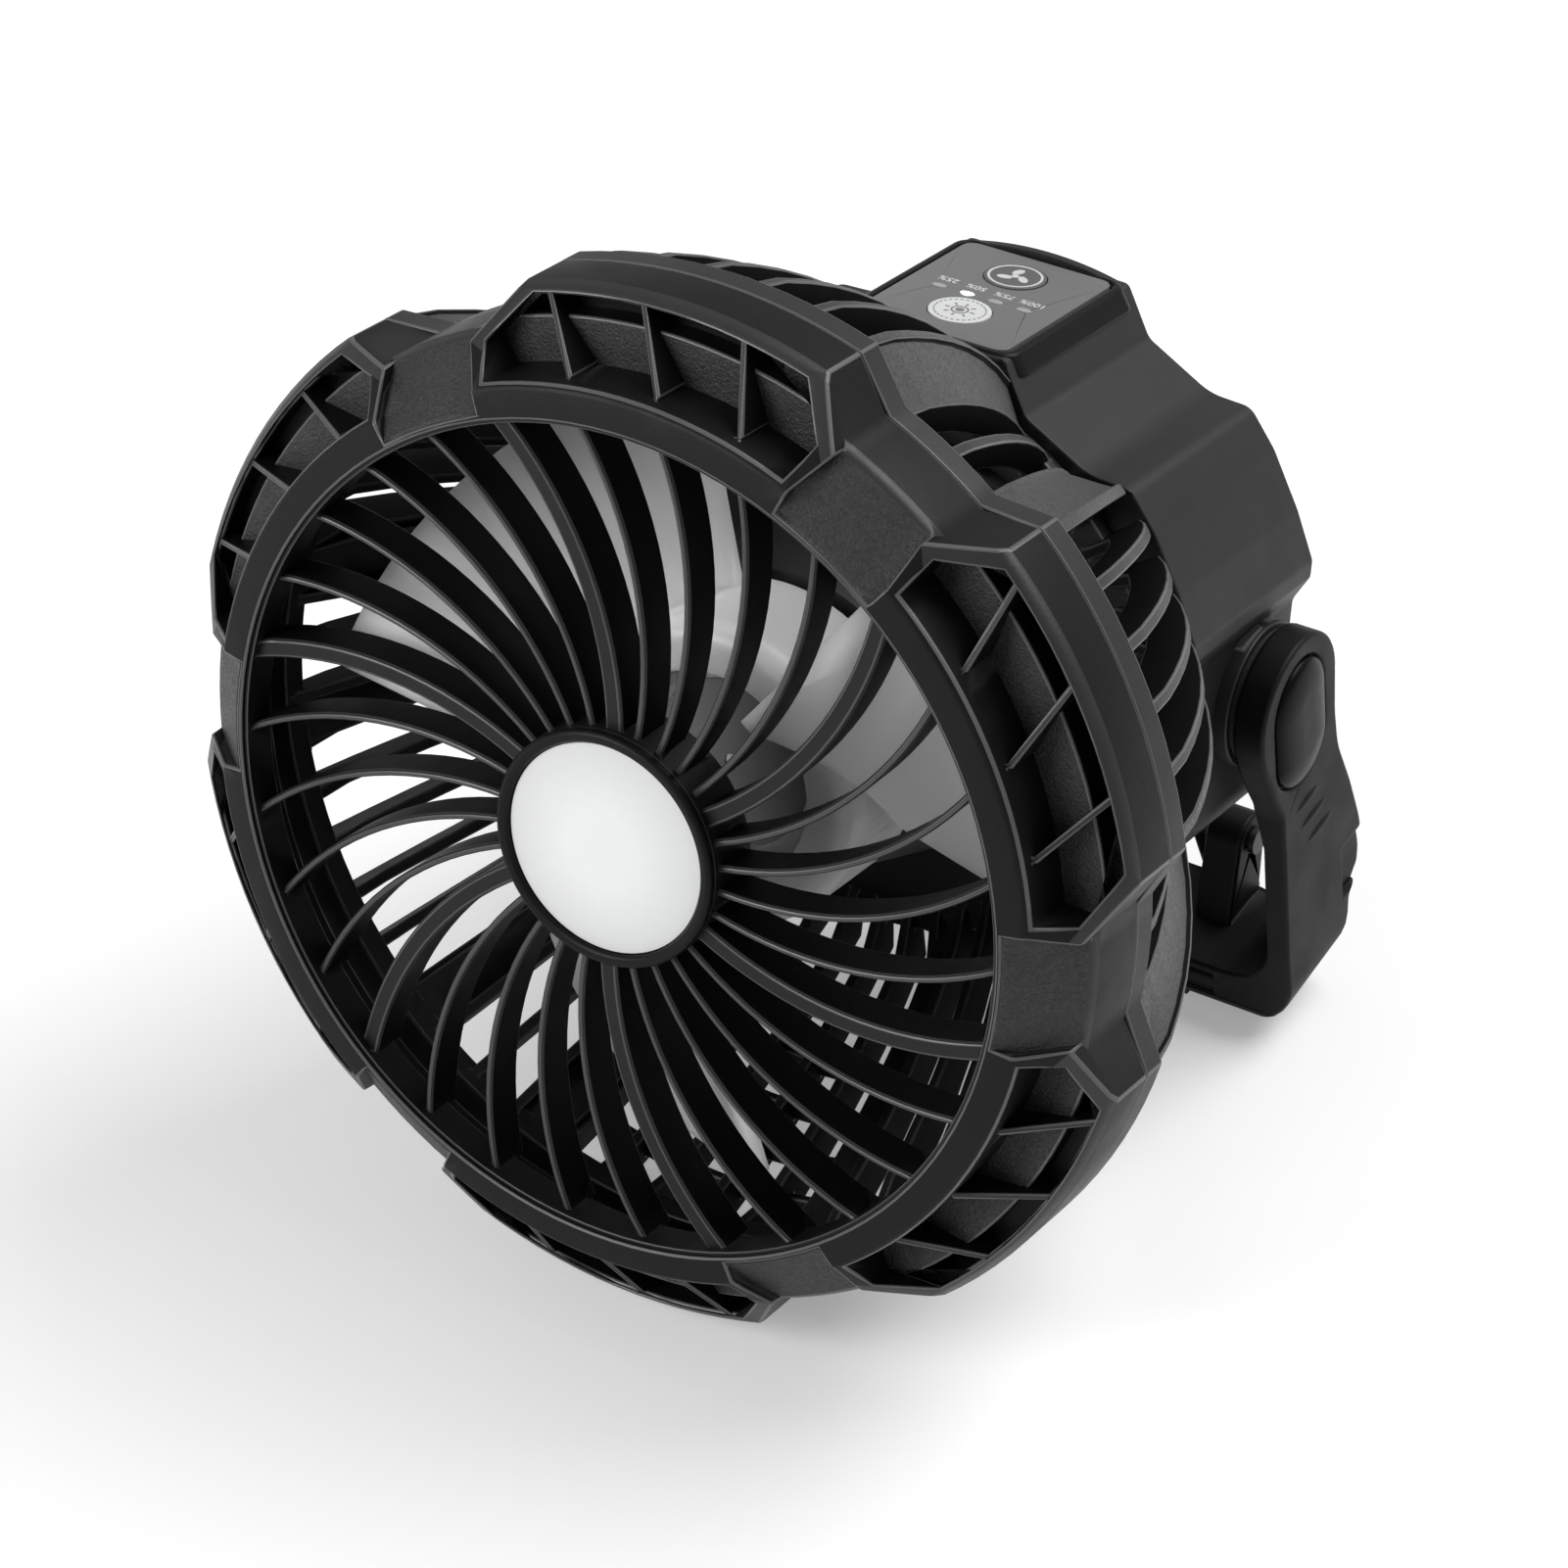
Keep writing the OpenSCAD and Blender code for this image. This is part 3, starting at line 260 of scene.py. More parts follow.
def plastic(name, colour, rough, grain, depth, drift=0.12):
    """Moulded plastic: a drifting tint, uneven gloss and a fine grain."""
    material, tree, shader, place = finish(name)
    dark = [c * (1 - drift) for c in colour]
    pale = [c * (1 + drift) for c in colour]
    tint = spread(tree, noise(tree, place, TINT_PATCH), 0, 1)
    gloss = spread(tree, noise(tree, place, GLOSS_PATCH), rough - 0.04, rough + 0.05)
    tree.links.new(blend_colours(tree, tint, dark, pale), shader.inputs["Base Color"])
    tree.links.new(gloss, shader.inputs["Roughness"])
    bump(tree, shader, noise(tree, place, grain, 4.0), depth, 0.6)
    return material


# %% The fan's plastics
# name, colour, roughness, size and depth of the grain in metres, drift of the tint
SHELL = plastic("black_shell", (0.0095, 0.0098, 0.0106), 0.48, 0.00055, 0.00006)
RING = plastic("black_ring", (0.0035, 0.0036, 0.004), 0.44, 0.00055, 0.00007)
# the ring's bevels: a paler plastic, a painted highlight along its edges
RING_EDGE_PAINTED_HIGHLIGHT = plastic("black_ring_edge_painted_highlight", (0.08, 0.0805, 0.082), 0.36, 0.00055, 0.00004)
# the lugs' outer slopes: paler than the ring, a painted highlight for the light from above
RING_SLOPE_PAINTED_HIGHLIGHT = plastic("black_ring_slope_painted_highlight", (0.019, 0.0192, 0.0204), 0.42, 0.00055, 0.00007)
HANDLE_BLACK = plastic("black_handle", (0.0028, 0.0029, 0.0032), 0.5, 0.00055, 0.00005)
TRIM = plastic("black_trim", (0.006, 0.0062, 0.007), 0.34, 0.00055, 0.00003)
CAGE = plastic("cage_black", (0.0145, 0.0148, 0.0158), 0.48, 0.0006, 0.00009)
# the cage's bevels: a paler plastic, a painted highlight along its edges
CAGE_EDGE_PAINTED_HIGHLIGHT = plastic("cage_black_edge_painted_highlight", (0.085, 0.0855, 0.087), 0.38, 0.0006, 0.00005)
# the fins' flanks: a deeper black, painted shade
CAGE_FLANK_PAINTED_SHADE = plastic("cage_black_flank_painted_shade", (0.0042, 0.0043, 0.0048), 0.6, 0.0006, 0.00006)
SWIRL = plastic("grille_black", (0.006, 0.0062, 0.0068), 0.42, 0.0007, 0.00003)
# the grille's bevels: a paler plastic, a painted highlight along the bars' edges
SWIRL_EDGE_PAINTED_HIGHLIGHT = plastic("grille_black_edge_painted_highlight", (0.045, 0.0455, 0.047), 0.32, 0.0007, 0.00003)
# the bars' flanks: a deeper black, painted shade
SWIRL_FLANK_PAINTED_SHADE = plastic("grille_black_flank_painted_shade", (0.0042, 0.0043, 0.0047), 0.5, 0.0007, 0.00003)
PANEL = plastic("panel_grey", (0.15, 0.151, 0.155), 0.42, 0.0005, 0.00002, 0.04)
KEY_DARK = plastic("fan_key_grey", (0.1, 0.101, 0.105), 0.4, 0.0005, 0.00002, 0.04)
KEY_PALE = plastic("light_key_pale", (0.68, 0.685, 0.69), 0.42, 0.0005, 0.00002, 0.03)
RUBBER = plastic("rubber_black", (0.012, 0.012, 0.013), 0.75, 0.0008, 0.00012)
WIRE = plastic("powder_coated_wire", (0.011, 0.011, 0.012), 0.42, 0.0004, 0.00005)
INK_WHITE = plastic("print_white", (0.62, 0.62, 0.62), 0.5, 0.0004, 0.00001, 0.03)
INK_GREY = plastic("print_grey", (0.2, 0.2, 0.2), 0.5, 0.0004, 0.00001, 0.03)
BLADE = plastic("blade_grey", (0.94, 0.942, 0.945), 0.32, 0.002, 0.00004, 0.03)
# the blades' bevels: a slightly paler plastic, a painted highlight along their edges
BLADE_EDGE_PAINTED_HIGHLIGHT = plastic("blade_grey_edge_painted_highlight", (0.96, 0.962, 0.965), 0.26, 0.002, 0.00003, 0.02)
CAP_BLACK = plastic("cap_black", (0.002, 0.0021, 0.0023), 0.3, 0.00055, 0.00003)
print("a shell of", SHELL.name, "and blades of", BLADE.name)

# %% [markdown]
# Matt black plastic mirrors less of a bright room than the shader's standard gloss does, so
# each black gets a lower specular level. The blades are milky: light enters them and comes
# out again a few millimetres further on, which subsurface scattering works out.

# %% Matt blacks and milky blades
MATT = {CAGE_FLANK_PAINTED_SHADE: 0.06, SWIRL_FLANK_PAINTED_SHADE: 0.06, CAP_BLACK: 0.08, TRIM: 0.12, HANDLE_BLACK: 0.16, RING: 0.17,
        SWIRL: 0.22, SHELL: 0.36, CAGE: 0.36, RING_SLOPE_PAINTED_HIGHLIGHT: 0.36}
MILKY_SHARE = 0.85
MILKY_DEPTH = 7 * MM  # how far light spreads inside a blade

for black, level in MATT.items():
    black.node_tree.nodes["Principled BSDF"].inputs["Specular IOR Level"].default_value = level
for milky in (BLADE, BLADE_EDGE_PAINTED_HIGHLIGHT):
    shader = milky.node_tree.nodes["Principled BSDF"]
    shader.inputs["Subsurface Weight"].default_value = MILKY_SHARE
    shader.inputs["Subsurface Radius"].default_value = (1, 1, 1)
    shader.inputs["Subsurface Scale"].default_value = MILKY_DEPTH
print(len(MATT), "matt blacks; light spreads", MILKY_DEPTH / MM, "mm inside a blade")

# %% [markdown]
# ## The milky lens
# The lens is one milky disc over a white reflector. It is palest in the middle, because near
# its rim less of the reflector lies behind it. The distance from the lens's own centre, read
# from the frame, blends two whites; a faint grid of soft cells hints at the lamps behind it.

# %% Lens finish
FADE_FROM = 7.7 * MM  # inside this radius the lens stays its palest
FADE_TO = 22 * MM
RIM_SHARE = 0.94  # how far the fade has gone at its end
LENS_CELL = 2.6 * MM
CELL_SHARE = 0.06  # how much the border of a cell adds to the fade


def milky_lens(name, middle, rim, centre):
    """A white that greys a little from the centre to the rim."""
    material, tree, shader, place = finish(name)
    away = tree.nodes.new("ShaderNodeVectorMath")
    away.operation = "DISTANCE"
    away.inputs[1].default_value = centre
    tree.links.new(place, away.inputs[0])
    cells = tree.nodes.new("ShaderNodeTexVoronoi")
    cells.inputs["Scale"].default_value = 1 / LENS_CELL
    cells.inputs["Randomness"].default_value = 0.15
    tree.links.new(place, cells.inputs["Vector"])
    whole = tree.nodes.new("ShaderNodeMath")
    fade = spread(tree, away.outputs["Value"], 0, RIM_SHARE, FADE_FROM, FADE_TO)
    tree.links.new(fade, whole.inputs[0])
    tree.links.new(spread(tree, cells.outputs["Distance"], 0, CELL_SHARE, 0, 0.6), whole.inputs[1])
    tree.links.new(blend_colours(tree, whole.outputs[0], middle, rim), shader.inputs["Base Color"])
    shader.inputs["Roughness"].default_value = 0.34
    bump(tree, shader, noise(tree, place, 0.0011, 4.0), 0.00002, 0.5)
    return material


lens_low, lens_high = (Vector(corner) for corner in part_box("lamp_lens"))
LENS = milky_lens("lens_white", (0.86, 0.865, 0.87), (0.68, 0.685, 0.69), (lens_low + lens_high) / 2)
print("lens centre:", [round(c, 4) for c in (lens_low + lens_high) / 2])

# %% [markdown]
# ## Grained plastic
# The sunken panels between the lugs, the floors of the pockets and the shoulders of the cage
# come from a sandblasted part of the mould. Each grain catches the light on its own, so the
# surface sparkles. Bump alone would be lost from afar, so the grains also change the tint and
# the gloss a little: a fine cell pattern gives every grain its own value.

# %% Grained plastics


def grained(name, dark, pale, rough, grain, depth):
    """Sandblasted plastic: every grain has its own tint, gloss and height."""
    material, tree, shader, place = finish(name)
    cells = tree.nodes.new("ShaderNodeTexVoronoi")
    cells.inputs["Scale"].default_value = 1 / grain
    tree.links.new(place, cells.inputs["Vector"])
    speck = tree.nodes.new("ShaderNodeSeparateColor")
    tree.links.new(cells.outputs["Color"], speck.inputs[0])
    value = spread(tree, speck.outputs[0], 0, 1, 0.1, 0.9)
    tree.links.new(blend_colours(tree, value, dark, pale), shader.inputs["Base Color"])
    tree.links.new(spread(tree, speck.outputs[1], rough - 0.1, rough + 0.1, 0, 1), shader.inputs["Roughness"])
    bump(tree, shader, noise(tree, place, grain, 2.0), depth, 0.8)
    return material


# name, darkest and palest grain, roughness, size and depth of the grain in metres
GRAIN = grained("grained_black", (0.006, 0.0062, 0.007), (0.018, 0.0183, 0.0195), 0.58, 0.0005, 0.00025)
# the shoulders' grain is real, but it is paler than the cage around it: a painted highlight on faces that
# look outwards
SHOULDER_GRAIN_AND_HIGHLIGHT = grained("grained_shoulder_painted_highlight", (0.024, 0.0243, 0.0255), (0.05, 0.0504, 0.052), 0.5, 0.0004, 0.0001)
print("grained finishes:", GRAIN.name, SHOULDER_GRAIN_AND_HIGHLIGHT.name)

# %% [markdown]
# ## The metals and the parts inside
# Nobody sees the motor or the cells while the fan is whole, but a part on a bench is looked at
# one piece at a time. Each gets the finish it has in a workshop: ground steel with fine turning
# lines, wound copper, shrink wrap, and a green board with its copper showing at the edges.

# %% Metal, board and winding
WAVE_TURN = 20  # radians a wave texture turns in a metre at a scale of 1
BLOCKS = 160  # blocks of copper track in a metre
TURNS = 120  # scale of the waves on a winding


def metal(name, colour, rough, line=0.0004, drift=0.1):
    """Machined metal: fine lines round the fan's axis, `line` metres a radian, vary the gloss."""
    material, tree, shader, place = finish(name)
    lines = tree.nodes.new("ShaderNodeTexWave")
    lines.wave_type = "RINGS"
    lines.rings_direction = "Y"
    lines.inputs["Scale"].default_value = 1 / line / WAVE_TURN
    lines.inputs["Distortion"].default_value = 1.5
    tree.links.new(place, lines.inputs["Vector"])
    dull = [c * (1 - drift) for c in colour]
    tint = spread(tree, noise(tree, place, 6 * MM), 0, 1)
    gloss = spread(tree, lines.outputs["Fac"], rough - 0.06, rough + 0.08, 0, 1)
    tree.links.new(blend_colours(tree, tint, dull, colour), shader.inputs["Base Color"])
    tree.links.new(gloss, shader.inputs["Roughness"])
    shader.inputs["Metallic"].default_value = 1.0
    bump(tree, shader, lines.outputs["Fac"], 0.00001, 0.4)
    return material


def board(name, mask, copper):
    """Solder mask over copper tracks, which show as slightly paler blocks."""
    material, tree, shader, place = finish(name)
    tracks = tree.nodes.new("ShaderNodeTexBrick")
    tracks.inputs["Scale"].default_value = BLOCKS
    tracks.inputs["Color1"].default_value = (*mask, 1)
    tracks.inputs["Color2"].default_value = (*[c * 1.5 for c in mask], 1)
    tracks.inputs["Mortar"].default_value = (*copper, 1)
    tracks.inputs["Mortar Size"].default_value = 0.012
    tree.links.new(place, tracks.inputs["Vector"])
    tree.links.new(tracks.outputs["Color"], shader.inputs["Base Color"])
    shader.inputs["Roughness"].default_value = 0.32
    bump(tree, shader, tracks.outputs["Fac"], 0.00003, 0.5)
    return material


def winding(name, dark, bright):
    """Enamelled wire, laid turn by turn."""
    material, tree, shader, place = finish(name)
    turns = tree.nodes.new("ShaderNodeTexWave")
    turns.bands_direction = "Y"
    turns.inputs["Scale"].default_value = TURNS
    turns.inputs["Distortion"].default_value = 0.6
    tree.links.new(place, turns.inputs["Vector"])
    tree.links.new(blend_colours(tree, turns.outputs["Fac"], dark, bright), shader.inputs["Base Color"])
    shader.inputs["Metallic"].default_value = 0.8
    shader.inputs["Roughness"].default_value = 0.35
    bump(tree, shader, turns.outputs["Fac"], 0.0001, 0.8)
    return material


# %% Finishes of the inner parts
STEEL = metal("zinc_steel", (0.5, 0.505, 0.52), 0.32)
CAN = metal("grey_motor_can", (0.2, 0.202, 0.208), 0.42, 0.0001, 0.05)
ALLOY = metal("cast_alloy", (0.6, 0.605, 0.62), 0.42)
BRASS = metal("turned_brass", (0.68, 0.52, 0.24), 0.28)
MAGNET = metal("sintered_magnet", (0.09, 0.09, 0.095), 0.5)
COPPER = winding("copper_winding", (0.3, 0.09, 0.03), (0.72, 0.3, 0.12))
CIRCUIT = board("green_board", (0.012, 0.11, 0.045), (0.02, 0.17, 0.06))
CELL = plastic("shrink_wrap_blue", (0.04, 0.13, 0.42), 0.3, 0.001, 0.00002, 0.06)
CHIP = plastic("yellow_phosphor", (0.85, 0.7, 0.2), 0.4, 0.0004, 0.00002)
SWITCH = plastic("switch_black", (0.012, 0.012, 0.012), 0.45, 0.0005, 0.00003)
INNER = plastic("inner_black", (0.011, 0.0112, 0.012), 0.55, 0.0008, 0.00008)
print("inner finishes run from", STEEL.name, "to", INNER.name)

# %% [markdown]
# ## Carried-over CAD pieces
# A piece whose machined shape is right keeps it and only gets its finish. Those that show are
# copied and softened in the next step.

# %% Selecting and dressing


def only(piece):
    """Selects one object and makes it the active one."""
    bpy.ops.object.select_all(action="DESELECT")
    piece.select_set(True)
    bpy.context.view_layer.objects.active = piece


def dress(mesh, *materials):
    """Gives a mesh its materials, the first one all over."""
    mesh.materials.clear()
    for material in materials:
        mesh.materials.append(material)


# %% Dress the CAD nodes
DRESSED = {
    CAN: ("motor_rotor",),
    STEEL: ("grille_screws", "motor_shaft", "stator_core", "motor_bearings", "mount_screws", "bezel_screws",
            "cage_screws", "cover_screws", "pivot_bolts", "charge_port", "usb_port"),
    CIRCUIT: ("lamp_board", "control_board", "power_board"),
    INNER: ("motor_mount", "battery_holder"),
    RUBBER: ("pivot_washers", "foot_strip"),
    CHIP: ("lamp_chips",),
    MAGNET: ("rotor_magnet",),
    ALLOY: ("motor_base",),
    COPPER: ("stator_coils",),
    SWITCH: ("key_switches",),
    CELL: ("battery_cells",),
    BRASS: ("pivot_inserts",),
    LENS: ("lamp_lens",),
    TRIM: ("lamp_trim",),
    WIRE: ("hanging_hook",),
    SHELL: ("rear_cover",)}

for material, nodes in DRESSED.items():
    for node in nodes:
        dress(frame["nodes"][node].data, material)
print(sum(len(nodes) for nodes in DRESSED.values()), "CAD nodes dressed")

# %% [markdown]
# ## Softened edges
# A mould never leaves a knife edge, so black plastic shows thin pale lines where its rounded
# corners catch the light. The CAD shape is copied, its loose triangles are joined into flat
# faces, and a narrow bevel rounds every outer corner. On the ring, the cage, the grille and the
# blades the bevel's own faces also get a paler, smoother plastic: a painted highlight that makes
# those lines brighter than the light alone does. Inner corners stay dark and sharp, so only the
# outer ones get a bevel weight. A face can't have a hole in it, so a flat ring keeps its
# triangles. Where two surfaces meet at a very flat angle a bevel can shoot past its
# corner, so such points are pulled back to the surface they came from. Last, the normals are
# weighted by area, which keeps large faces flat and leaves the bend to the narrow bevel.

# %% Join the triangles into flat faces
MERGE = 2e-6  # metres; points this close are one point
FLAT = math.radians(0.6)  # faces this alike in direction are one flat face
MOST_FACES = 400  # a larger flat region keeps its triangles
TURNED_AWAY = 9  # radians, for a sliver that has no normal
SHARP = 35  # degrees between two faces that meet at an edge


def flat_region(seed, seen, limit):
    """All faces that lie flat with `seed` and touch each other."""
    region = [seed]
    seen.add(seed)
    for face in region:
        for edge in face.edges:
            for other in edge.link_faces:
                if other not in seen and other.normal.angle(seed.normal, TURNED_AWAY) < limit:
                    seen.add(other)
                    region.append(other)
    return region


def inner_edges(region):
    """The edges inside a flat region, or none if its border isn't a single closed loop."""
    inside = set(region)
    edges = {e for f in region for e in f.edges}
    border = {e for e in edges if sum(g in inside for g in e.link_faces) == 1}
    corners = {v for e in border for v in e.verts}
    if len(corners) != len(border):
        return []
    reached = {next(iter(corners))}
    queue = list(reached)
    for corner in queue:
        for edge in corner.link_edges:
            other = edge.other_vert(corner)
            if edge in border and other not in reached:
                reached.add(other)
                queue.append(other)
    return list(edges - border) if len(reached) == len(corners) else []


def joined_copy(node, sharp):
    """A copy of a CAD node with whole flat faces, and a bevel weight on its sharp outer edges."""
    piece = bpy.data.objects.new("soft_" + node, frame["nodes"][node].data.copy())
    bpy.context.scene.collection.objects.link(piece)
    mesh = bmesh.new()
    mesh.from_mesh(piece.data)
    bmesh.ops.remove_doubles(mesh, verts=mesh.verts, dist=MERGE)
    mesh.normal_update()
    seen = set()
    regions = [flat_region(f, seen, FLAT) for f in list(mesh.faces) if f not in seen]
    loose = [e for region in regions if 1 < len(region) < MOST_FACES for e in inner_edges(region)]
    bmesh.ops.dissolve_edges(mesh, edges=loose, use_verts=False, use_face_split=False)
    weight = mesh.edges.layers.float.new("bevel_weight_edge")
    for edge in mesh.edges:
        if len(edge.link_faces) == 2 and edge.calc_face_angle_signed(0) > sharp:
            edge[weight] = 1
    mesh.to_mesh(piece.data)
    mesh.free()
    return piece


# %% Bevel, pull stray points back, weight the normals
STRAY = 0.6  # of the bevel's width: further off, a point is pulled back
AREA_WEIGHT = 80  # above 50, a large face counts for more than a small one


def weighted(piece, angle):
    """Smooth shading that keeps large faces flat."""
    only(piece)
    bpy.ops.object.shade_smooth_by_angle(angle=math.radians(angle))
    normals = piece.modifiers.new("weighted", "WEIGHTED_NORMAL")
    normals.keep_sharp = True
    normals.weight = AREA_WEIGHT
    bpy.ops.object.modifier_apply(modifier=normals.name)


def pulled_back(piece, surface, limit):
    """Moves points that a bevel shot out back onto the surface they came from."""
    count = 0
    for vertex in piece.data.vertices:
        hit, _, _, gap = surface.find_nearest(vertex.co)
        if gap > limit:
            vertex.co = hit
            count += 1
    return count


def softened(node, width, material, edge, body, segments=2):
    """A bevelled copy of a CAD node, which stands for it."""
    piece = joined_copy(node, math.radians(SHARP))
    only(piece)
    dress(piece.data, material, edge)
    surface = BVHTree.FromPolygons([v.co.copy() for v in piece.data.vertices],
                                   [tuple(p.vertices) for p in piece.data.polygons])
    bevel = piece.modifiers.new("soft_edges", "BEVEL")
    bevel.width = width
    bevel.segments = segments
    bevel.limit_method = "WEIGHT"
    bevel.use_clamp_overlap = False
    # the bevel's faces take the second material; on some parts that is a paler plastic, a painted highlight
    bevel.material = 1
    bpy.ops.object.modifier_apply(modifier=bevel.name)
    pulled = pulled_back(piece, surface, STRAY * width)
    weighted(piece, SHARP)
    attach(piece, body)
    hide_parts(node)
    print(node, len(piece.data.polygons), "faces,", pulled, "points pulled back")
    return piece


# %% Soften the pieces that show
bezel = softened("front_bezel", 0.5 * MM, RING, RING_EDGE_PAINTED_HIGHLIGHT, "head")
cage = softened("rear_cage", 0.4 * MM, CAGE, CAGE_EDGE_PAINTED_HIGHLIGHT, "head")
grille = softened("grille", 0.22 * MM, SWIRL, SWIRL_EDGE_PAINTED_HIGHLIGHT, "head")
softened("housing", 0.5 * MM, SHELL, SHELL, "head")
softened("control_panel", 0.2 * MM, PANEL, PANEL, "head")
softened("fan_button", 0.15 * MM, KEY_DARK, KEY_DARK, "fan_key")
softened("light_button", 0.15 * MM, KEY_PALE, KEY_PALE, "light_key")
softened("handle", 0.9 * MM, HANDLE_BLACK, HANDLE_BLACK, "swing_handle", segments=3)
softened("impeller", 0.3 * MM, BLADE, BLADE_EDGE_PAINTED_HIGHLIGHT, "rotor")

# %% [markdown]
# ## Zones on one moulding
# One moulding can carry several finishes: sandblasted panels, and here also painted light, a
# paler band where a slope faces the light from above and a deeper black on walls that see little
# light. A painter would mask them off. Here every face is sorted by where it lies in the fan's
# own frame: its radius from the axis, its place along the axis, the angle to the nearest lug,
# and the way it faces. The slopes along the lugs' outer edges are paler, a painted highlight;
# the flanks of the bars and fins get a deeper black, painted shade.

# %% Place a face in the fan's own frame
LUG_PITCH = 60  # degrees
FIN_PITCH = 360 / 54  # degrees


def fan_place(polygon):
    """Radius, place along the axis, angle to the nearest lug, and the normal's parts."""
    centre = TO_FAN @ polygon.center
    normal = TO_FAN.to_3x3() @ polygon.normal
    radius = math.hypot(centre.x, centre.z)
    out = (normal.x * centre.x + normal.z * centre.z) / max(radius, 1e-6)
    phi = math.degrees(math.atan2(centre.x, centre.z))
    from_lug = abs((phi + LUG_PITCH / 2) % LUG_PITCH - LUG_PITCH / 2)
    return radius / MM, centre.y / MM, from_lug, out, normal.y


def zone(piece, material, belongs):
    """Gives the faces for which `belongs` is true another material."""
    index = len(piece.data.materials)
    piece.data.materials.append(material)
    count = 0
    for polygon in piece.data.polygons:
        if belongs(polygon, *fan_place(polygon)):
            polygon.material_index = index
            count += 1
    print(piece.name, "has", count, "faces of", material.name)


# %% Zones of the front ring
CONE_SLOPE = 13.3 / 15.6  # rise of the ring's front for each step outwards
CONE_FACES = -0.76  # how far that front looks along the axis
LUG_R = 100  # radii and depths in millimetres
PANEL_SINK = 3
PANEL_R = 93  # the sunk panels end here
CREST_R = 88  # the lugs' slopes begin outside this
POCKET_FLOOR = -1


def on_sunk_panel(polygon, r, y, from_lug, out, along):
    cone = (r - LUG_R) * CONE_SLOPE
    return abs(along - CONE_FACES) < 0.05 and r < PANEL_R and abs(y - cone - PANEL_SINK) < 0.5


def on_pocket_floor(polygon, r, y, from_lug, out, along):
    return polygon.material_index == 0 and along < -0.9 and abs(y - POCKET_FLOOR) < 0.2


def on_lug_slope(polygon, r, y, from_lug, out, along):
    return polygon.material_index == 0 and r > CREST_R and out > 0.3 and -0.95 < along < -0.2


zone(bezel, GRAIN, on_sunk_panel)
zone(bezel, GRAIN, on_pocket_floor)
# the lugs' outer slopes get a paler plastic, a painted highlight
zone(bezel, RING_SLOPE_PAINTED_HIGHLIGHT, on_lug_slope)

# %% Zones of the grille and the cage
CUP_R = 23.5  # millimetres; the bars start at the hub's cup
HOOP_R = 78  # and end at the hoop
FINS_FROM = 17  # millimetres along the axis, behind the ring
BLOCKS_FROM = 16
BLOCK_SPAN = (2.3 * FIN_PITCH, 3.6 * FIN_PITCH)  # degrees from a lug, where the fins are closed
SLIVER = 2e-6  # square metres


def on_flank(polygon, r, y, from_lug, out, along):
    return polygon.material_index == 0 and abs(along) < 0.5 and CUP_R < r < HOOP_R and abs(out) < 0.97


def on_fin_side(polygon, r, y, from_lug, out, along):
    return polygon.material_index == 0 and y > FINS_FROM and abs(out) < 0.35 and abs(along) < 0.5


# outward faces of the shoulders; their paler grain is a painted highlight
def on_shoulder(polygon, r, y, from_lug, out, along):
    faces_out = y > BLOCKS_FROM and out > 0.5 and polygon.area > SLIVER
    return faces_out and BLOCK_SPAN[0] < from_lug < BLOCK_SPAN[1]


# the flanks of the bars and fins get a deeper black, painted shade
zone(grille, SWIRL_FLANK_PAINTED_SHADE, on_flank)
zone(cage, CAGE_FLANK_PAINTED_SHADE, on_fin_side)
zone(cage, SHOULDER_GRAIN_AND_HIGHLIGHT, on_shoulder)

# %% [markdown]
# ## Modelling small trim
# The rest is modelled in the upright frame of the head or of the handle, and then put in its
# place. These helpers add an outline, raise it, and settle a finished piece. An operator works
# on all that is selected, so everything is deselected first.

# %% Helpers for modelled pieces


def start_disc(name, radius, place, turn=(0, 0, 0), sides=64):
    """A flat disc to shape further, with edit mode on and the disc selected."""
    bpy.ops.object.select_all(action="DESELECT")
    bpy.ops.mesh.primitive_circle_add(vertices=sides, radius=radius, fill_type="NGON", location=place,
                                      rotation=turn)
    piece = bpy.context.object
    piece.name = piece.data.name = name
    bpy.ops.object.mode_set(mode="EDIT")
    bpy.ops.mesh.select_all(action="SELECT")
    return piece


def raise_by(height, direction=(0, 0, 1)):
    """Extrudes what is selected by `height` along a direction."""
    step = tuple(height * d for d in direction)
    bpy.ops.mesh.extrude_region_move(TRANSFORM_OT_translate={"value": step})


def end_editing():
    """Turns all faces outwards and leaves edit mode."""
    bpy.ops.mesh.select_all(action="SELECT")
    bpy.ops.mesh.normals_make_consistent(inside=False)
    bpy.ops.object.mode_set(mode="OBJECT")


def round_off(piece, width, segments):
    """Rounds a piece's sharp corners with a bevel modifier, and applies it."""
    soft = piece.modifiers.new("soft", "BEVEL")
    soft.width = width
    soft.segments = segments
    soft.limit_method = "ANGLE"
    soft.angle_limit = math.radians(50)
    only(piece)
    bpy.ops.object.modifier_apply(modifier=soft.name)


def settle(piece, place, body, materials, stands_for=(), angle=SHARP):
    """Puts a finished piece in its place for good, dresses it, hangs it on its body and hides the CAD parts
    it stands for.
    """
    piece.data.transform(place @ piece.matrix_basis)
    piece.matrix_basis = Matrix.Identity(4)
    dress(piece.data, *materials)
    weighted(piece, angle)
    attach(piece, body)
    if stands_for:
        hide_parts(*stands_for)
    print(piece.name, len(piece.data.polygons), "faces")
    return piece


# %% [markdown]
# ## Domed arm caps
# An oval cap snaps over each pivot bolt. Its outline is a disc whose lower half is moved down.
# Raising it and stepping inwards in ever flatter insets gives the dome; a narrow gap all
# round, left by the slightly smaller outline, is the dark line that shows it is a part.

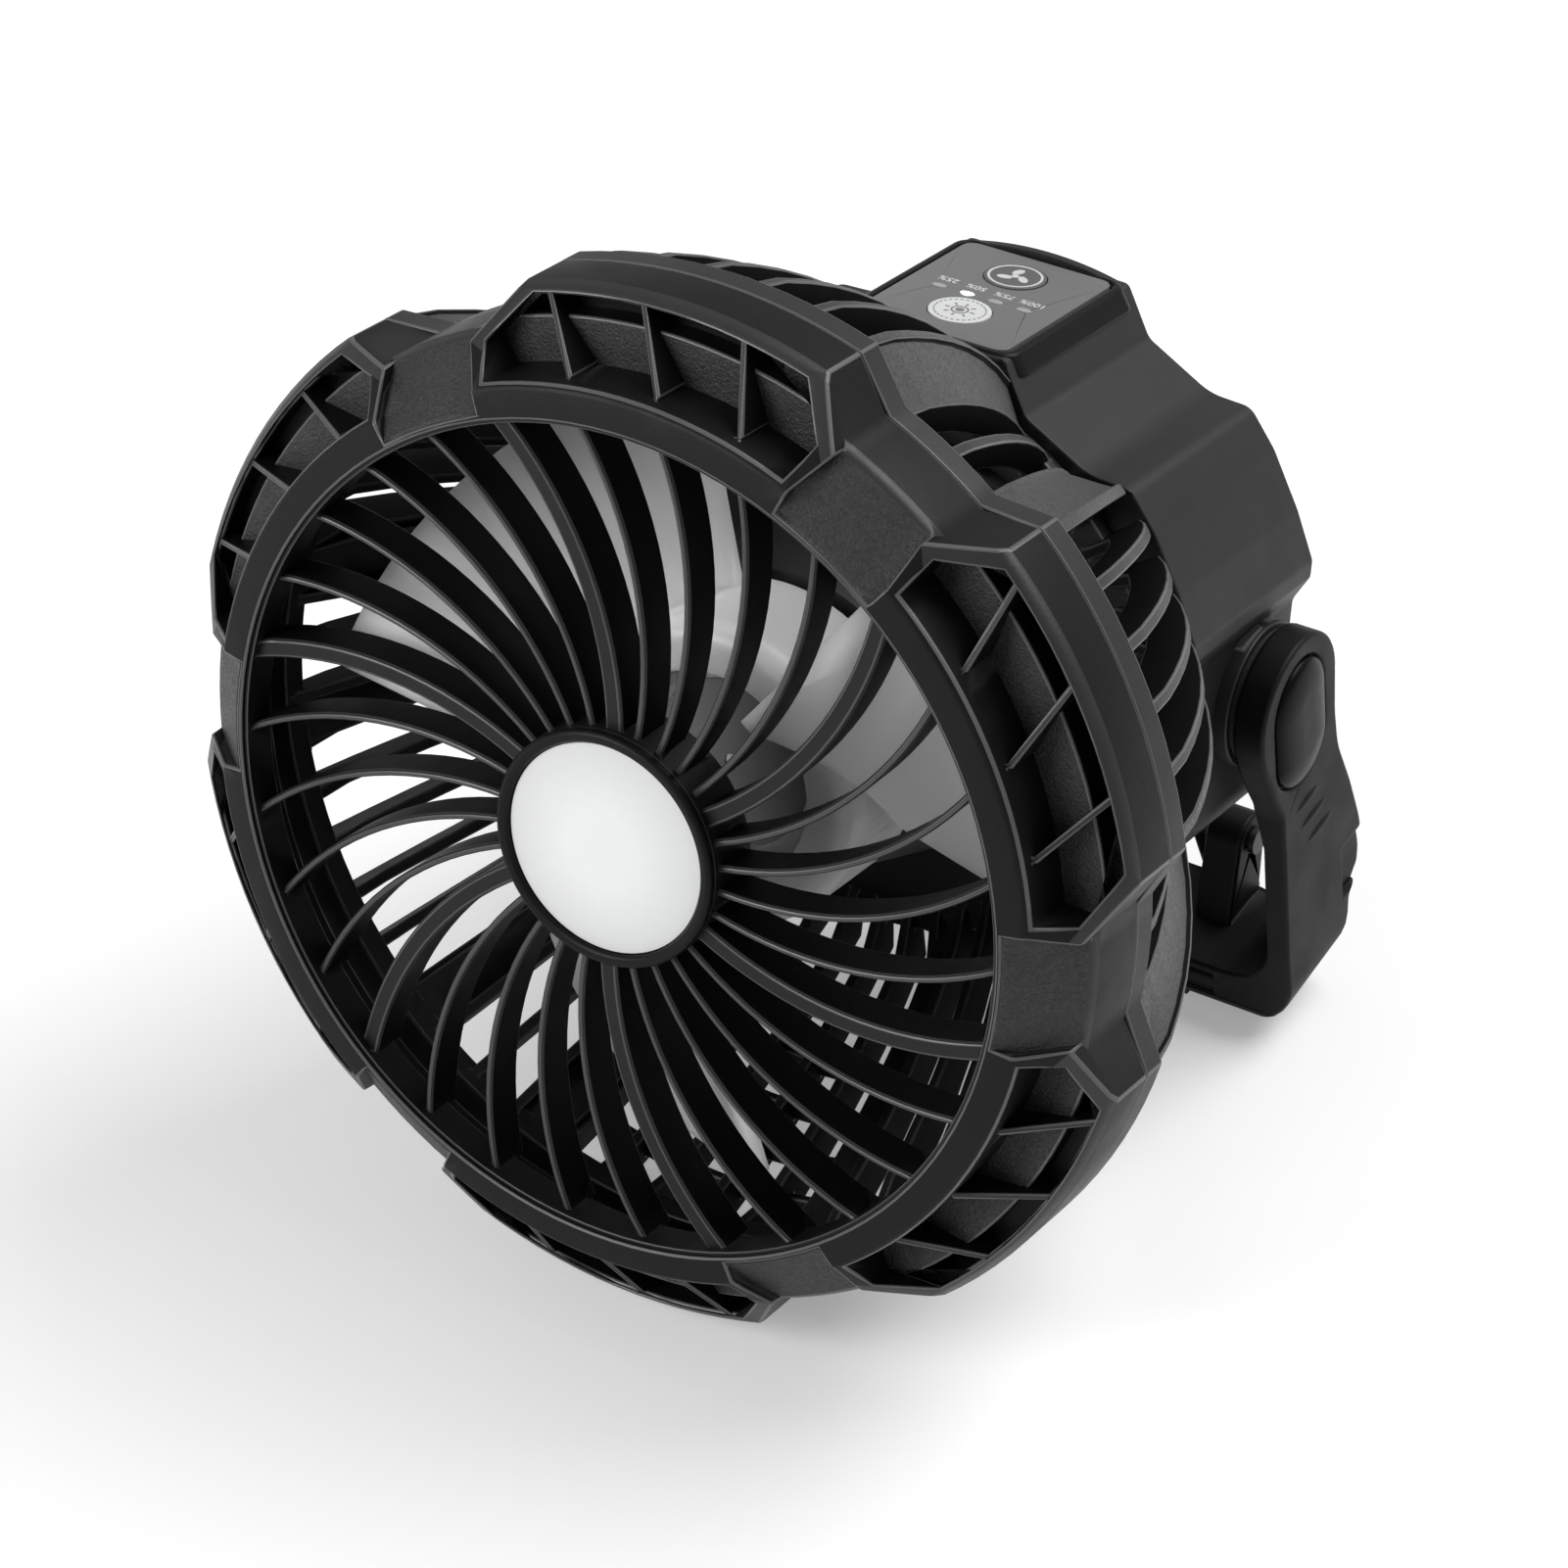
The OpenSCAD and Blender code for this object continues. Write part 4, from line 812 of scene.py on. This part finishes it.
# %% Arm caps
CAP_R = 9.3 * MM
CAP_TOP = 1 * MM  # centre of the cap's upper round end
CAP_DROP = 10 * MM  # down to the centre of its lower one
CAP_FOOT = 68.85 * MM  # from the middle of the fan to the cap's foot
CAP_WALL = 1.1 * MM
CAP_DOME = [(0.5, 0.5), (0.8, 0.42), (1.1, 0.36), (1.5, 0.3), (1.8, 0.2), (1.8, 0.08)]  # inset, rise

for side, label in ((1, "right"), (-1, "left")):
    cap = start_disc("arm_cap_" + label, CAP_R, (side * CAP_FOOT, 0, CAP_TOP), (0, side * math.pi / 2, 0))
    outline = bmesh.from_edit_mesh(cap.data)
    for corner in outline.verts:
        corner.select_set((cap.matrix_basis @ corner.co).z < CAP_TOP - 1e-6)
    outline.select_flush_mode()
    bpy.ops.transform.translate(value=(0, 0, -CAP_DROP))
    bpy.ops.mesh.select_all(action="SELECT")
    raise_by(CAP_WALL, (side, 0, 0))
    for inset, rise in CAP_DOME:
        bpy.ops.mesh.inset(thickness=inset * MM, depth=rise * MM)
    end_editing()
    settle(cap, HANDLE, "swing_handle", [CAP_BLACK], ["arm_caps"], angle=50)

# %% [markdown]
# Three low ridges cross each arm below its cap, for the fingers that turn it. A ridge that
# fades out at both ends is the tip of a very long egg: a sphere is stretched, and a cut
# leaves only the sliver that stands out of the arm.

# %% Arm ridges
ARM_FACE = 70 * MM
RIDGE_RISE = 0.45 * MM
RIDGE_ROOT = 0.3 * MM  # how deep it reaches into the arm
RIDGE_DEPTH = 3.2 * MM  # half depth of the egg that it is cut from
RIDGES = [((1.5, -25), (9, 2.2)), ((3.5, -30.5), (10, 2.2)), ((6, -36), (10, 2.2))]  # middle, half size

for side, label in ((1, "right"), (-1, "left")):
    for number, (spot, half) in enumerate(RIDGES):
        bpy.ops.object.select_all(action="DESELECT")
        bpy.ops.mesh.primitive_uv_sphere_add(segments=32, ring_count=20, radius=1, location=(0, 0, 0))
        ridge = bpy.context.object
        ridge.name = ridge.data.name = "arm_ridge_%s_%d" % (label, number + 1)
        bpy.ops.object.mode_set(mode="EDIT")
        bpy.ops.mesh.select_all(action="SELECT")
        bpy.ops.transform.resize(value=(RIDGE_DEPTH, half[0] * MM, half[1] * MM), center_override=(0, 0, 0))
        cut = side * (RIDGE_DEPTH - RIDGE_RISE - RIDGE_ROOT)
        bpy.ops.mesh.bisect(plane_co=(cut, 0, 0), plane_no=(side, 0, 0), use_fill=True, clear_inner=True)
        end_editing()
        middle = Vector((side * (ARM_FACE + RIDGE_RISE - RIDGE_DEPTH), spot[0] * MM, spot[1] * MM))
        settle(ridge, HANDLE @ Matrix.Translation(middle), "swing_handle", [HANDLE_BLACK])

# %% [markdown]
# ## The deck's rim
# The panel lies in a tray whose glossy rim is a part of its own, and wraps a little way down
# the housing's flanks. A filled outline with rounded corners is inset, its middle is deleted,
# and the frame that is left is raised. Its foot is then widened to follow the flanks, and its
# edges are rounded off.

# %% Deck rim
RIM_HALF_W = 17.95 * MM
RIM_Y = (86.9 * MM, 132.2 * MM)
RIM_CORNER = 3.8 * MM
RIM_WALL = 1.62 * MM
RIM_FOOT = 60.7 * MM
RIM_HIGH = 4.25 * MM
RIM_FLARE = 2.75 * MM  # how far each side spreads towards its foot

bpy.ops.object.select_all(action="DESELECT")
centre = (0, sum(RIM_Y) / 2, RIM_FOOT)
bpy.ops.mesh.primitive_plane_add(size=1, location=centre)
rim = bpy.context.object
rim.name = rim.data.name = "deck_rim"
bpy.ops.object.mode_set(mode="EDIT")
bpy.ops.mesh.select_all(action="SELECT")
bpy.ops.transform.resize(value=(2 * RIM_HALF_W, RIM_Y[1] - RIM_Y[0], 1), center_override=centre)
bpy.ops.mesh.bevel(offset=RIM_CORNER, segments=8, affect="VERTICES")
bpy.ops.mesh.select_all(action="SELECT")
bpy.ops.mesh.inset(thickness=RIM_WALL)
bpy.ops.mesh.delete(type="FACE")
bpy.ops.mesh.select_all(action="SELECT")
raise_by(RIM_HIGH)
bpy.ops.mesh.select_all(action="INVERT")
flare = 1 + RIM_FLARE / RIM_HALF_W
bpy.ops.transform.resize(value=(flare, 1, 1), center_override=centre)
end_editing()
round_off(rim, width=0.7 * MM, segments=4)
settle(rim, FAN, "head", [TRIM])

# %% [markdown]
# ## The rear lip
# Behind the panel the housing rises in a low arch, which hides the end of the panel from
# behind. It is the top slice of a very large disc: a disc is raised into a plate, then a cut
# takes away everything below the deck.

# %% Rear lip
ARCH_HALF = 14.5 * MM
ARCH_RISE = 1.5 * MM
ARCH_R = (ARCH_HALF ** 2 + ARCH_RISE ** 2) / (2 * ARCH_RISE)
DECK_Z = 64.5 * MM
ARCH_Y = 131.6 * MM
LIP_THICK = 1.8 * MM
LIP_ROOT = 0.4 * MM  # how deep it reaches into the housing

lip = start_disc("rear_lip", ARCH_R, (0, ARCH_Y, DECK_Z + ARCH_RISE - ARCH_R), (math.pi / 2, 0, 0), 360)
raise_by(LIP_THICK, (0, 1, 0))
bpy.ops.mesh.select_all(action="SELECT")
bpy.ops.mesh.bisect(plane_co=(0, 0, DECK_Z - LIP_ROOT), plane_no=(0, 0, 1), use_fill=True, clear_inner=True)
end_editing()
round_off(lip, width=0.45 * MM, segments=3)
settle(lip, FAN, "head", [SHELL])

# %% [markdown]
# ## Prints on the panel
# Printed signs are a few hundredths of a millimetre thick. Each is a flat outline with real
# thickness, so that it stays sharp from any distance and also shows in the bare mesh. The
# battery scale reads from behind, where the user stands.

# %% Battery scale
PANEL_TOP = 65 * MM
PRINT_T = 0.05 * MM
LAMP_PITCH = 6.1 * MM
LABEL_Y = 112 * MM
LABEL_HIGH = 2.5 * MM
BOLD = 0.012  # of the height: how far the strokes are thickened
LAMP_PLACES = [k * LAMP_PITCH for k in (-1.5, -0.5, 0.5, 1.5)]


def print_text(name, words, x, y, height):
    """Words printed on the panel, to be read from behind."""
    bpy.ops.object.select_all(action="DESELECT")
    bpy.ops.object.text_add(location=(x, y, PANEL_TOP), rotation=(0, 0, math.pi))
    piece = bpy.context.object
    piece.name = piece.data.name = name
    piece.data.body = words
    piece.data.size = height
    piece.data.align_x = "CENTER"
    piece.data.extrude = PRINT_T
    piece.data.offset = BOLD * height
    piece.data.resolution_u = 3
    bpy.ops.object.convert(target="MESH")
    return settle(bpy.context.object, FAN, "head", [INK_WHITE])


for share, x in zip((100, 75, 50, 25), reversed(LAMP_PLACES)):
    print_text("scale_%d" % share, "%d%%" % share, x, LABEL_Y, LABEL_HIGH)

# %% [markdown]
# The lamps beside the scale are small oval domes. One of them glows: a strength of about one
# keeps it white without lighting the panel.

# %% Charge lamps
LAMP_Y = 107.7 * MM
LAMP_R = 1 * MM
LAMP_STRETCH = (1.5, 0.88, 1)
LAMP_ROOT = 0.5 * MM  # below the panel's face
LAMP_WALL = 0.56 * MM
LAMP_DOME = [(0.12, 0.06), (0.2, 0.05), (0.25, 0.02)]  # inset, rise
LIT = 1  # one of the four lamps glows
LAMP_OFF = plastic("lamp_off", (0.36, 0.365, 0.37), 0.3, 0.0006, 0.00001, 0.02)
LAMP_ON = plastic("lamp_on", (0.9, 0.92, 0.95), 0.3, 0.0006, 0.00001, 0.01)
glow = LAMP_ON.node_tree.nodes["Principled BSDF"]
glow.inputs["Emission Color"].default_value = (0.95, 0.98, 1, 1)
glow.inputs["Emission Strength"].default_value = 0.9

for number, x in enumerate(LAMP_PLACES):
    dome = start_disc("charge_lamp_%d" % (number + 1), LAMP_R, (x, LAMP_Y, PANEL_TOP - LAMP_ROOT))
    bpy.ops.transform.resize(value=LAMP_STRETCH, center_override=(x, LAMP_Y, PANEL_TOP))
    raise_by(LAMP_WALL)
    for inset, rise in LAMP_DOME:
        bpy.ops.mesh.inset(thickness=inset * MM, depth=rise * MM)
    end_editing()
    look = LAMP_ON if number == LIT else LAMP_OFF
    settle(dome, FAN, "head", [look], ["indicator_lenses"], angle=60)

# %% [markdown]
# ## Signs on the keys
# The light key is a pale disc with a dashed border and a small sun; the fan key has a white
# ring round a three-bladed fan. They ride on their own keys, so they go down with a press.

# %% Helpers for signs
KEY_TOP = 65.2 * MM


def add_ring(outer, inner, place, sides=96):
    """A flat ring in the piece that is being edited."""
    bpy.ops.mesh.primitive_circle_add(vertices=sides, radius=outer, fill_type="NGON", location=place)
    bpy.ops.mesh.inset(thickness=outer - inner)
    bpy.ops.mesh.delete(type="FACE")


def add_mark(centre, radius, size, turn, skew=0.0, sides=0):
    """A stroke, or an oval of some sides, that points outwards at a radius from the centre."""
    if sides:
        bpy.ops.mesh.primitive_circle_add(vertices=sides, radius=0.5, fill_type="NGON", location=centre)
    else:
        bpy.ops.mesh.primitive_plane_add(size=1, location=centre)
    bpy.ops.transform.resize(value=(*size, 1), center_override=centre)
    bpy.ops.transform.rotate(value=skew, orient_axis="Z", center_override=centre)
    bpy.ops.transform.translate(value=(radius, 0, 0))
    bpy.ops.transform.rotate(value=turn, orient_axis="Z", center_override=centre)


def end_sign(piece, body, ink):
    """Gives a flat sign its thickness and settles it."""
    bpy.ops.mesh.select_all(action="SELECT")
    raise_by(PRINT_T)
    end_editing()
    return settle(piece, FAN, body, [ink])


# %% The sun on the light key
SUN_CENTRE = (0, 99.7 * MM, KEY_TOP)
SUN_DISC = 0.9 * MM
SUN_RING = (1.75 * MM, 1.4 * MM)  # outer and inner radius
SUN_RAYS = (8, 2.65 * MM, (0.95 * MM, 0.38 * MM))  # how many, at what radius, size of one
SUN_BORDER = (28, 4.9 * MM, (0.28 * MM, 0.6 * MM))

sun = start_disc("sun_sign", SUN_DISC, SUN_CENTRE)
add_ring(*SUN_RING, SUN_CENTRE)
for count, radius, size in (SUN_RAYS, SUN_BORDER):
    for k in range(count):
        add_mark(SUN_CENTRE, radius, size, math.tau * k / count)
end_sign(sun, "light_key", INK_GREY)

# %% The fan on the fan key
FAN_CENTRE = (0, 120.4 * MM, KEY_TOP)
FAN_HUB = 0.75 * MM
FAN_RING = (5.35 * MM, 4.85 * MM)  # outer and inner radius
FAN_BLADES = (3, 2.1 * MM, (3.0 * MM, 1.75 * MM))  # how many, at what radius, size of one
BLADE_TURN = 0.3  # radians; the first blade points here
BLADE_SKEW = 0.5  # radians; each blade slants by this

fan_sign = start_disc("fan_sign", FAN_HUB, FAN_CENTRE)
count, radius, size = FAN_BLADES
for k in range(count):
    add_mark(FAN_CENTRE, radius, size, math.tau * k / count + BLADE_TURN, skew=BLADE_SKEW, sides=32)
add_ring(*FAN_RING, FAN_CENTRE)
end_sign(fan_sign, "fan_key", INK_WHITE)

# %% [markdown]
# ## Screws that show
# The rear cover and the ring are held by pan-head screws. One screw is modelled well: the
# head's edge is rounded by insets, and a boolean modifier sinks a cross into it. The others
# are copies, each with its own mesh and its own turn, as screws stop at any angle.

# %% One pan-head screw
HEAD_WALL = 0.45  # of the head's height
HEAD_DOME = [(0.1, 0.2), (0.15, 0.17), (0.2, 0.12), (0.25, 0.06)]  # inset of its radius, rise of its height
CROSS = (1.15, 0.24)  # length and width, of the head's radius


def pan_screw(name, head_r, head_h, shank_r, shank_len):
    """A screw along Z, with its head's underside at zero."""
    screw = start_disc(name, shank_r, (0, 0, -shank_len), sides=24)
    raise_by(shank_len)
    raise_by(0)
    bpy.ops.transform.resize(value=(head_r / shank_r, head_r / shank_r, 1), center_override=(0, 0, 0))
    raise_by(HEAD_WALL * head_h)
    for inset, rise in HEAD_DOME:
        bpy.ops.mesh.inset(thickness=inset * head_r, depth=rise * head_h)
    end_editing()
    bpy.ops.object.select_all(action="DESELECT")
    top = (0, 0, head_h)
    long, wide = (share * head_r for share in CROSS)
    bpy.ops.mesh.primitive_cube_add(size=1, location=top, scale=(long, wide, head_h))
    cross = bpy.context.object
    bpy.ops.object.mode_set(mode="EDIT")
    bpy.ops.mesh.select_all(action="SELECT")
    bpy.ops.mesh.primitive_cube_add(size=1, location=top, scale=(wide, long, head_h))
    bpy.ops.object.mode_set(mode="OBJECT")
    sink = screw.modifiers.new("cross", "BOOLEAN")
    sink.operation = "DIFFERENCE"
    sink.solver = "EXACT"
    sink.use_self = True
    sink.object = cross
    only(screw)
    bpy.ops.object.modifier_apply(modifier=sink.name)
    bpy.data.objects.remove(cross, do_unlink=True)
    return screw


# %% Screws in their places
SCREW = metal("blackened_screw", (0.1, 0.1, 0.105), 0.34)
COVER_SEAT = 132.3 * MM
COVER_XZ = [(47, 35), (44.4, -35)]  # millimetres, on the right
RING_SEAT = 16.5 * MM
RING_SCREW_R = 94 * MM
FIRST_TURN = 0.4  # radians; the turn of the first screw,
NEXT_TURN = 0.7  # and from each one to the next


def place_screws(pattern, node, places):
    """One joined piece of screws whose heads face backwards, one at each place."""
    copies = []
    for number, place in enumerate(places):
        copy = bpy.data.objects.new("%s_%d" % (node, number), pattern.data.copy())
        bpy.context.scene.collection.objects.link(copy)
        turn = Matrix.Rotation(NEXT_TURN * number + FIRST_TURN, 4, "Z")
        backwards = Matrix.Rotation(-math.pi / 2, 4, "X") @ turn
        copy.data.transform(Matrix.Translation(place) @ backwards @ pattern.matrix_basis)
        copies.append(copy)
    bpy.ops.object.select_all(action="DESELECT")
    for copy in copies:
        copy.select_set(True)
    bpy.context.view_layer.objects.active = copies[0]
    bpy.ops.object.join()
    piece = bpy.context.object
    piece.name = piece.data.name = "pan_" + node
    bpy.data.objects.remove(pattern, do_unlink=True)
    return settle(piece, FAN, "head", [SCREW], [node])


cover_places = [(side * x * MM, COVER_SEAT, z * MM) for side in (1, -1) for x, z in COVER_XZ]
cover_screw = pan_screw("cover_screw", head_r=2.7 * MM, head_h=1.75 * MM,
                        shank_r=1.25 * MM, shank_len=11 * MM)
place_screws(cover_screw, "cover_screws", cover_places)

lug_angles = [math.radians(LUG_PITCH * k) for k in range(6)]
ring_places = [(RING_SCREW_R * math.sin(a), RING_SEAT, RING_SCREW_R * math.cos(a)) for a in lug_angles]
ring_screw = pan_screw("ring_screw", head_r=2.4 * MM, head_h=1.35 * MM,
                       shank_r=1.25 * MM, shank_len=9 * MM)
place_screws(ring_screw, "bezel_screws", ring_places)

# %% [markdown]
# ## Inside the ports
# A socket looks empty without its tongue, the black wafer that carries the contacts. It is a
# block whose front edge is bevelled, with a row of flat gold contacts on it.

# %% Port tongues
GOLD = metal("contact_gold", (0.75, 0.58, 0.25), 0.25)
PORT_DEPTH = 10 * MM
PORT_BACK = 123.5 * MM  # the closed end of both sockets
TONGUE_REACH = 0.75  # of the port's depth
CONTACT_SPAN = (0.2, 0.7)  # of the port's depth


def block(name, low, high, soften):
    """A block between two corners, with its edges bevelled."""
    bpy.ops.object.select_all(action="DESELECT")
    centre = [(a + b) / 2 for a, b in zip(low, high)]
    bpy.ops.mesh.primitive_cube_add(size=1, location=centre, scale=[b - a for a, b in zip(low, high)])
    piece = bpy.context.object
    piece.name = piece.data.name = name
    bpy.ops.object.transform_apply(location=False, rotation=False, scale=True)
    bpy.ops.object.mode_set(mode="EDIT")
    bpy.ops.mesh.select_all(action="SELECT")
    bpy.ops.mesh.bevel(offset=soften, segments=2, affect="EDGES")
    bpy.ops.object.mode_set(mode="OBJECT")
    return piece


def tongue(name, x, z, half_w, thick, contacts):
    """A socket's tongue and its contacts, seen from behind."""
    low = (x - half_w, PORT_BACK, z)
    high = (x + half_w, PORT_BACK + TONGUE_REACH * PORT_DEPTH, z + thick)
    settle(block(name, low, high, 0.2 * MM), FAN, "head", [SWITCH])
    pitch = 2 * half_w / (contacts + 0.5)
    for k in range(contacts):
        left = x + (k - contacts / 2 + 0.25) * pitch
        low = (left, PORT_BACK + CONTACT_SPAN[0] * PORT_DEPTH, z - 0.06 * MM)
        high = (left + 0.5 * pitch, PORT_BACK + CONTACT_SPAN[1] * PORT_DEPTH, z + 0.1 * MM)
        settle(block("%s_contact_%d" % (name, k + 1), low, high, 0.02 * MM), FAN, "head", [GOLD])


tongue("usb_tongue", x=12 * MM, z=-1.0 * MM, half_w=5.6 * MM, thick=1.8 * MM, contacts=4)
tongue("charge_tongue", x=-15.8 * MM, z=-3.3 * MM, half_w=3.1 * MM, thick=0.7 * MM, contacts=5)
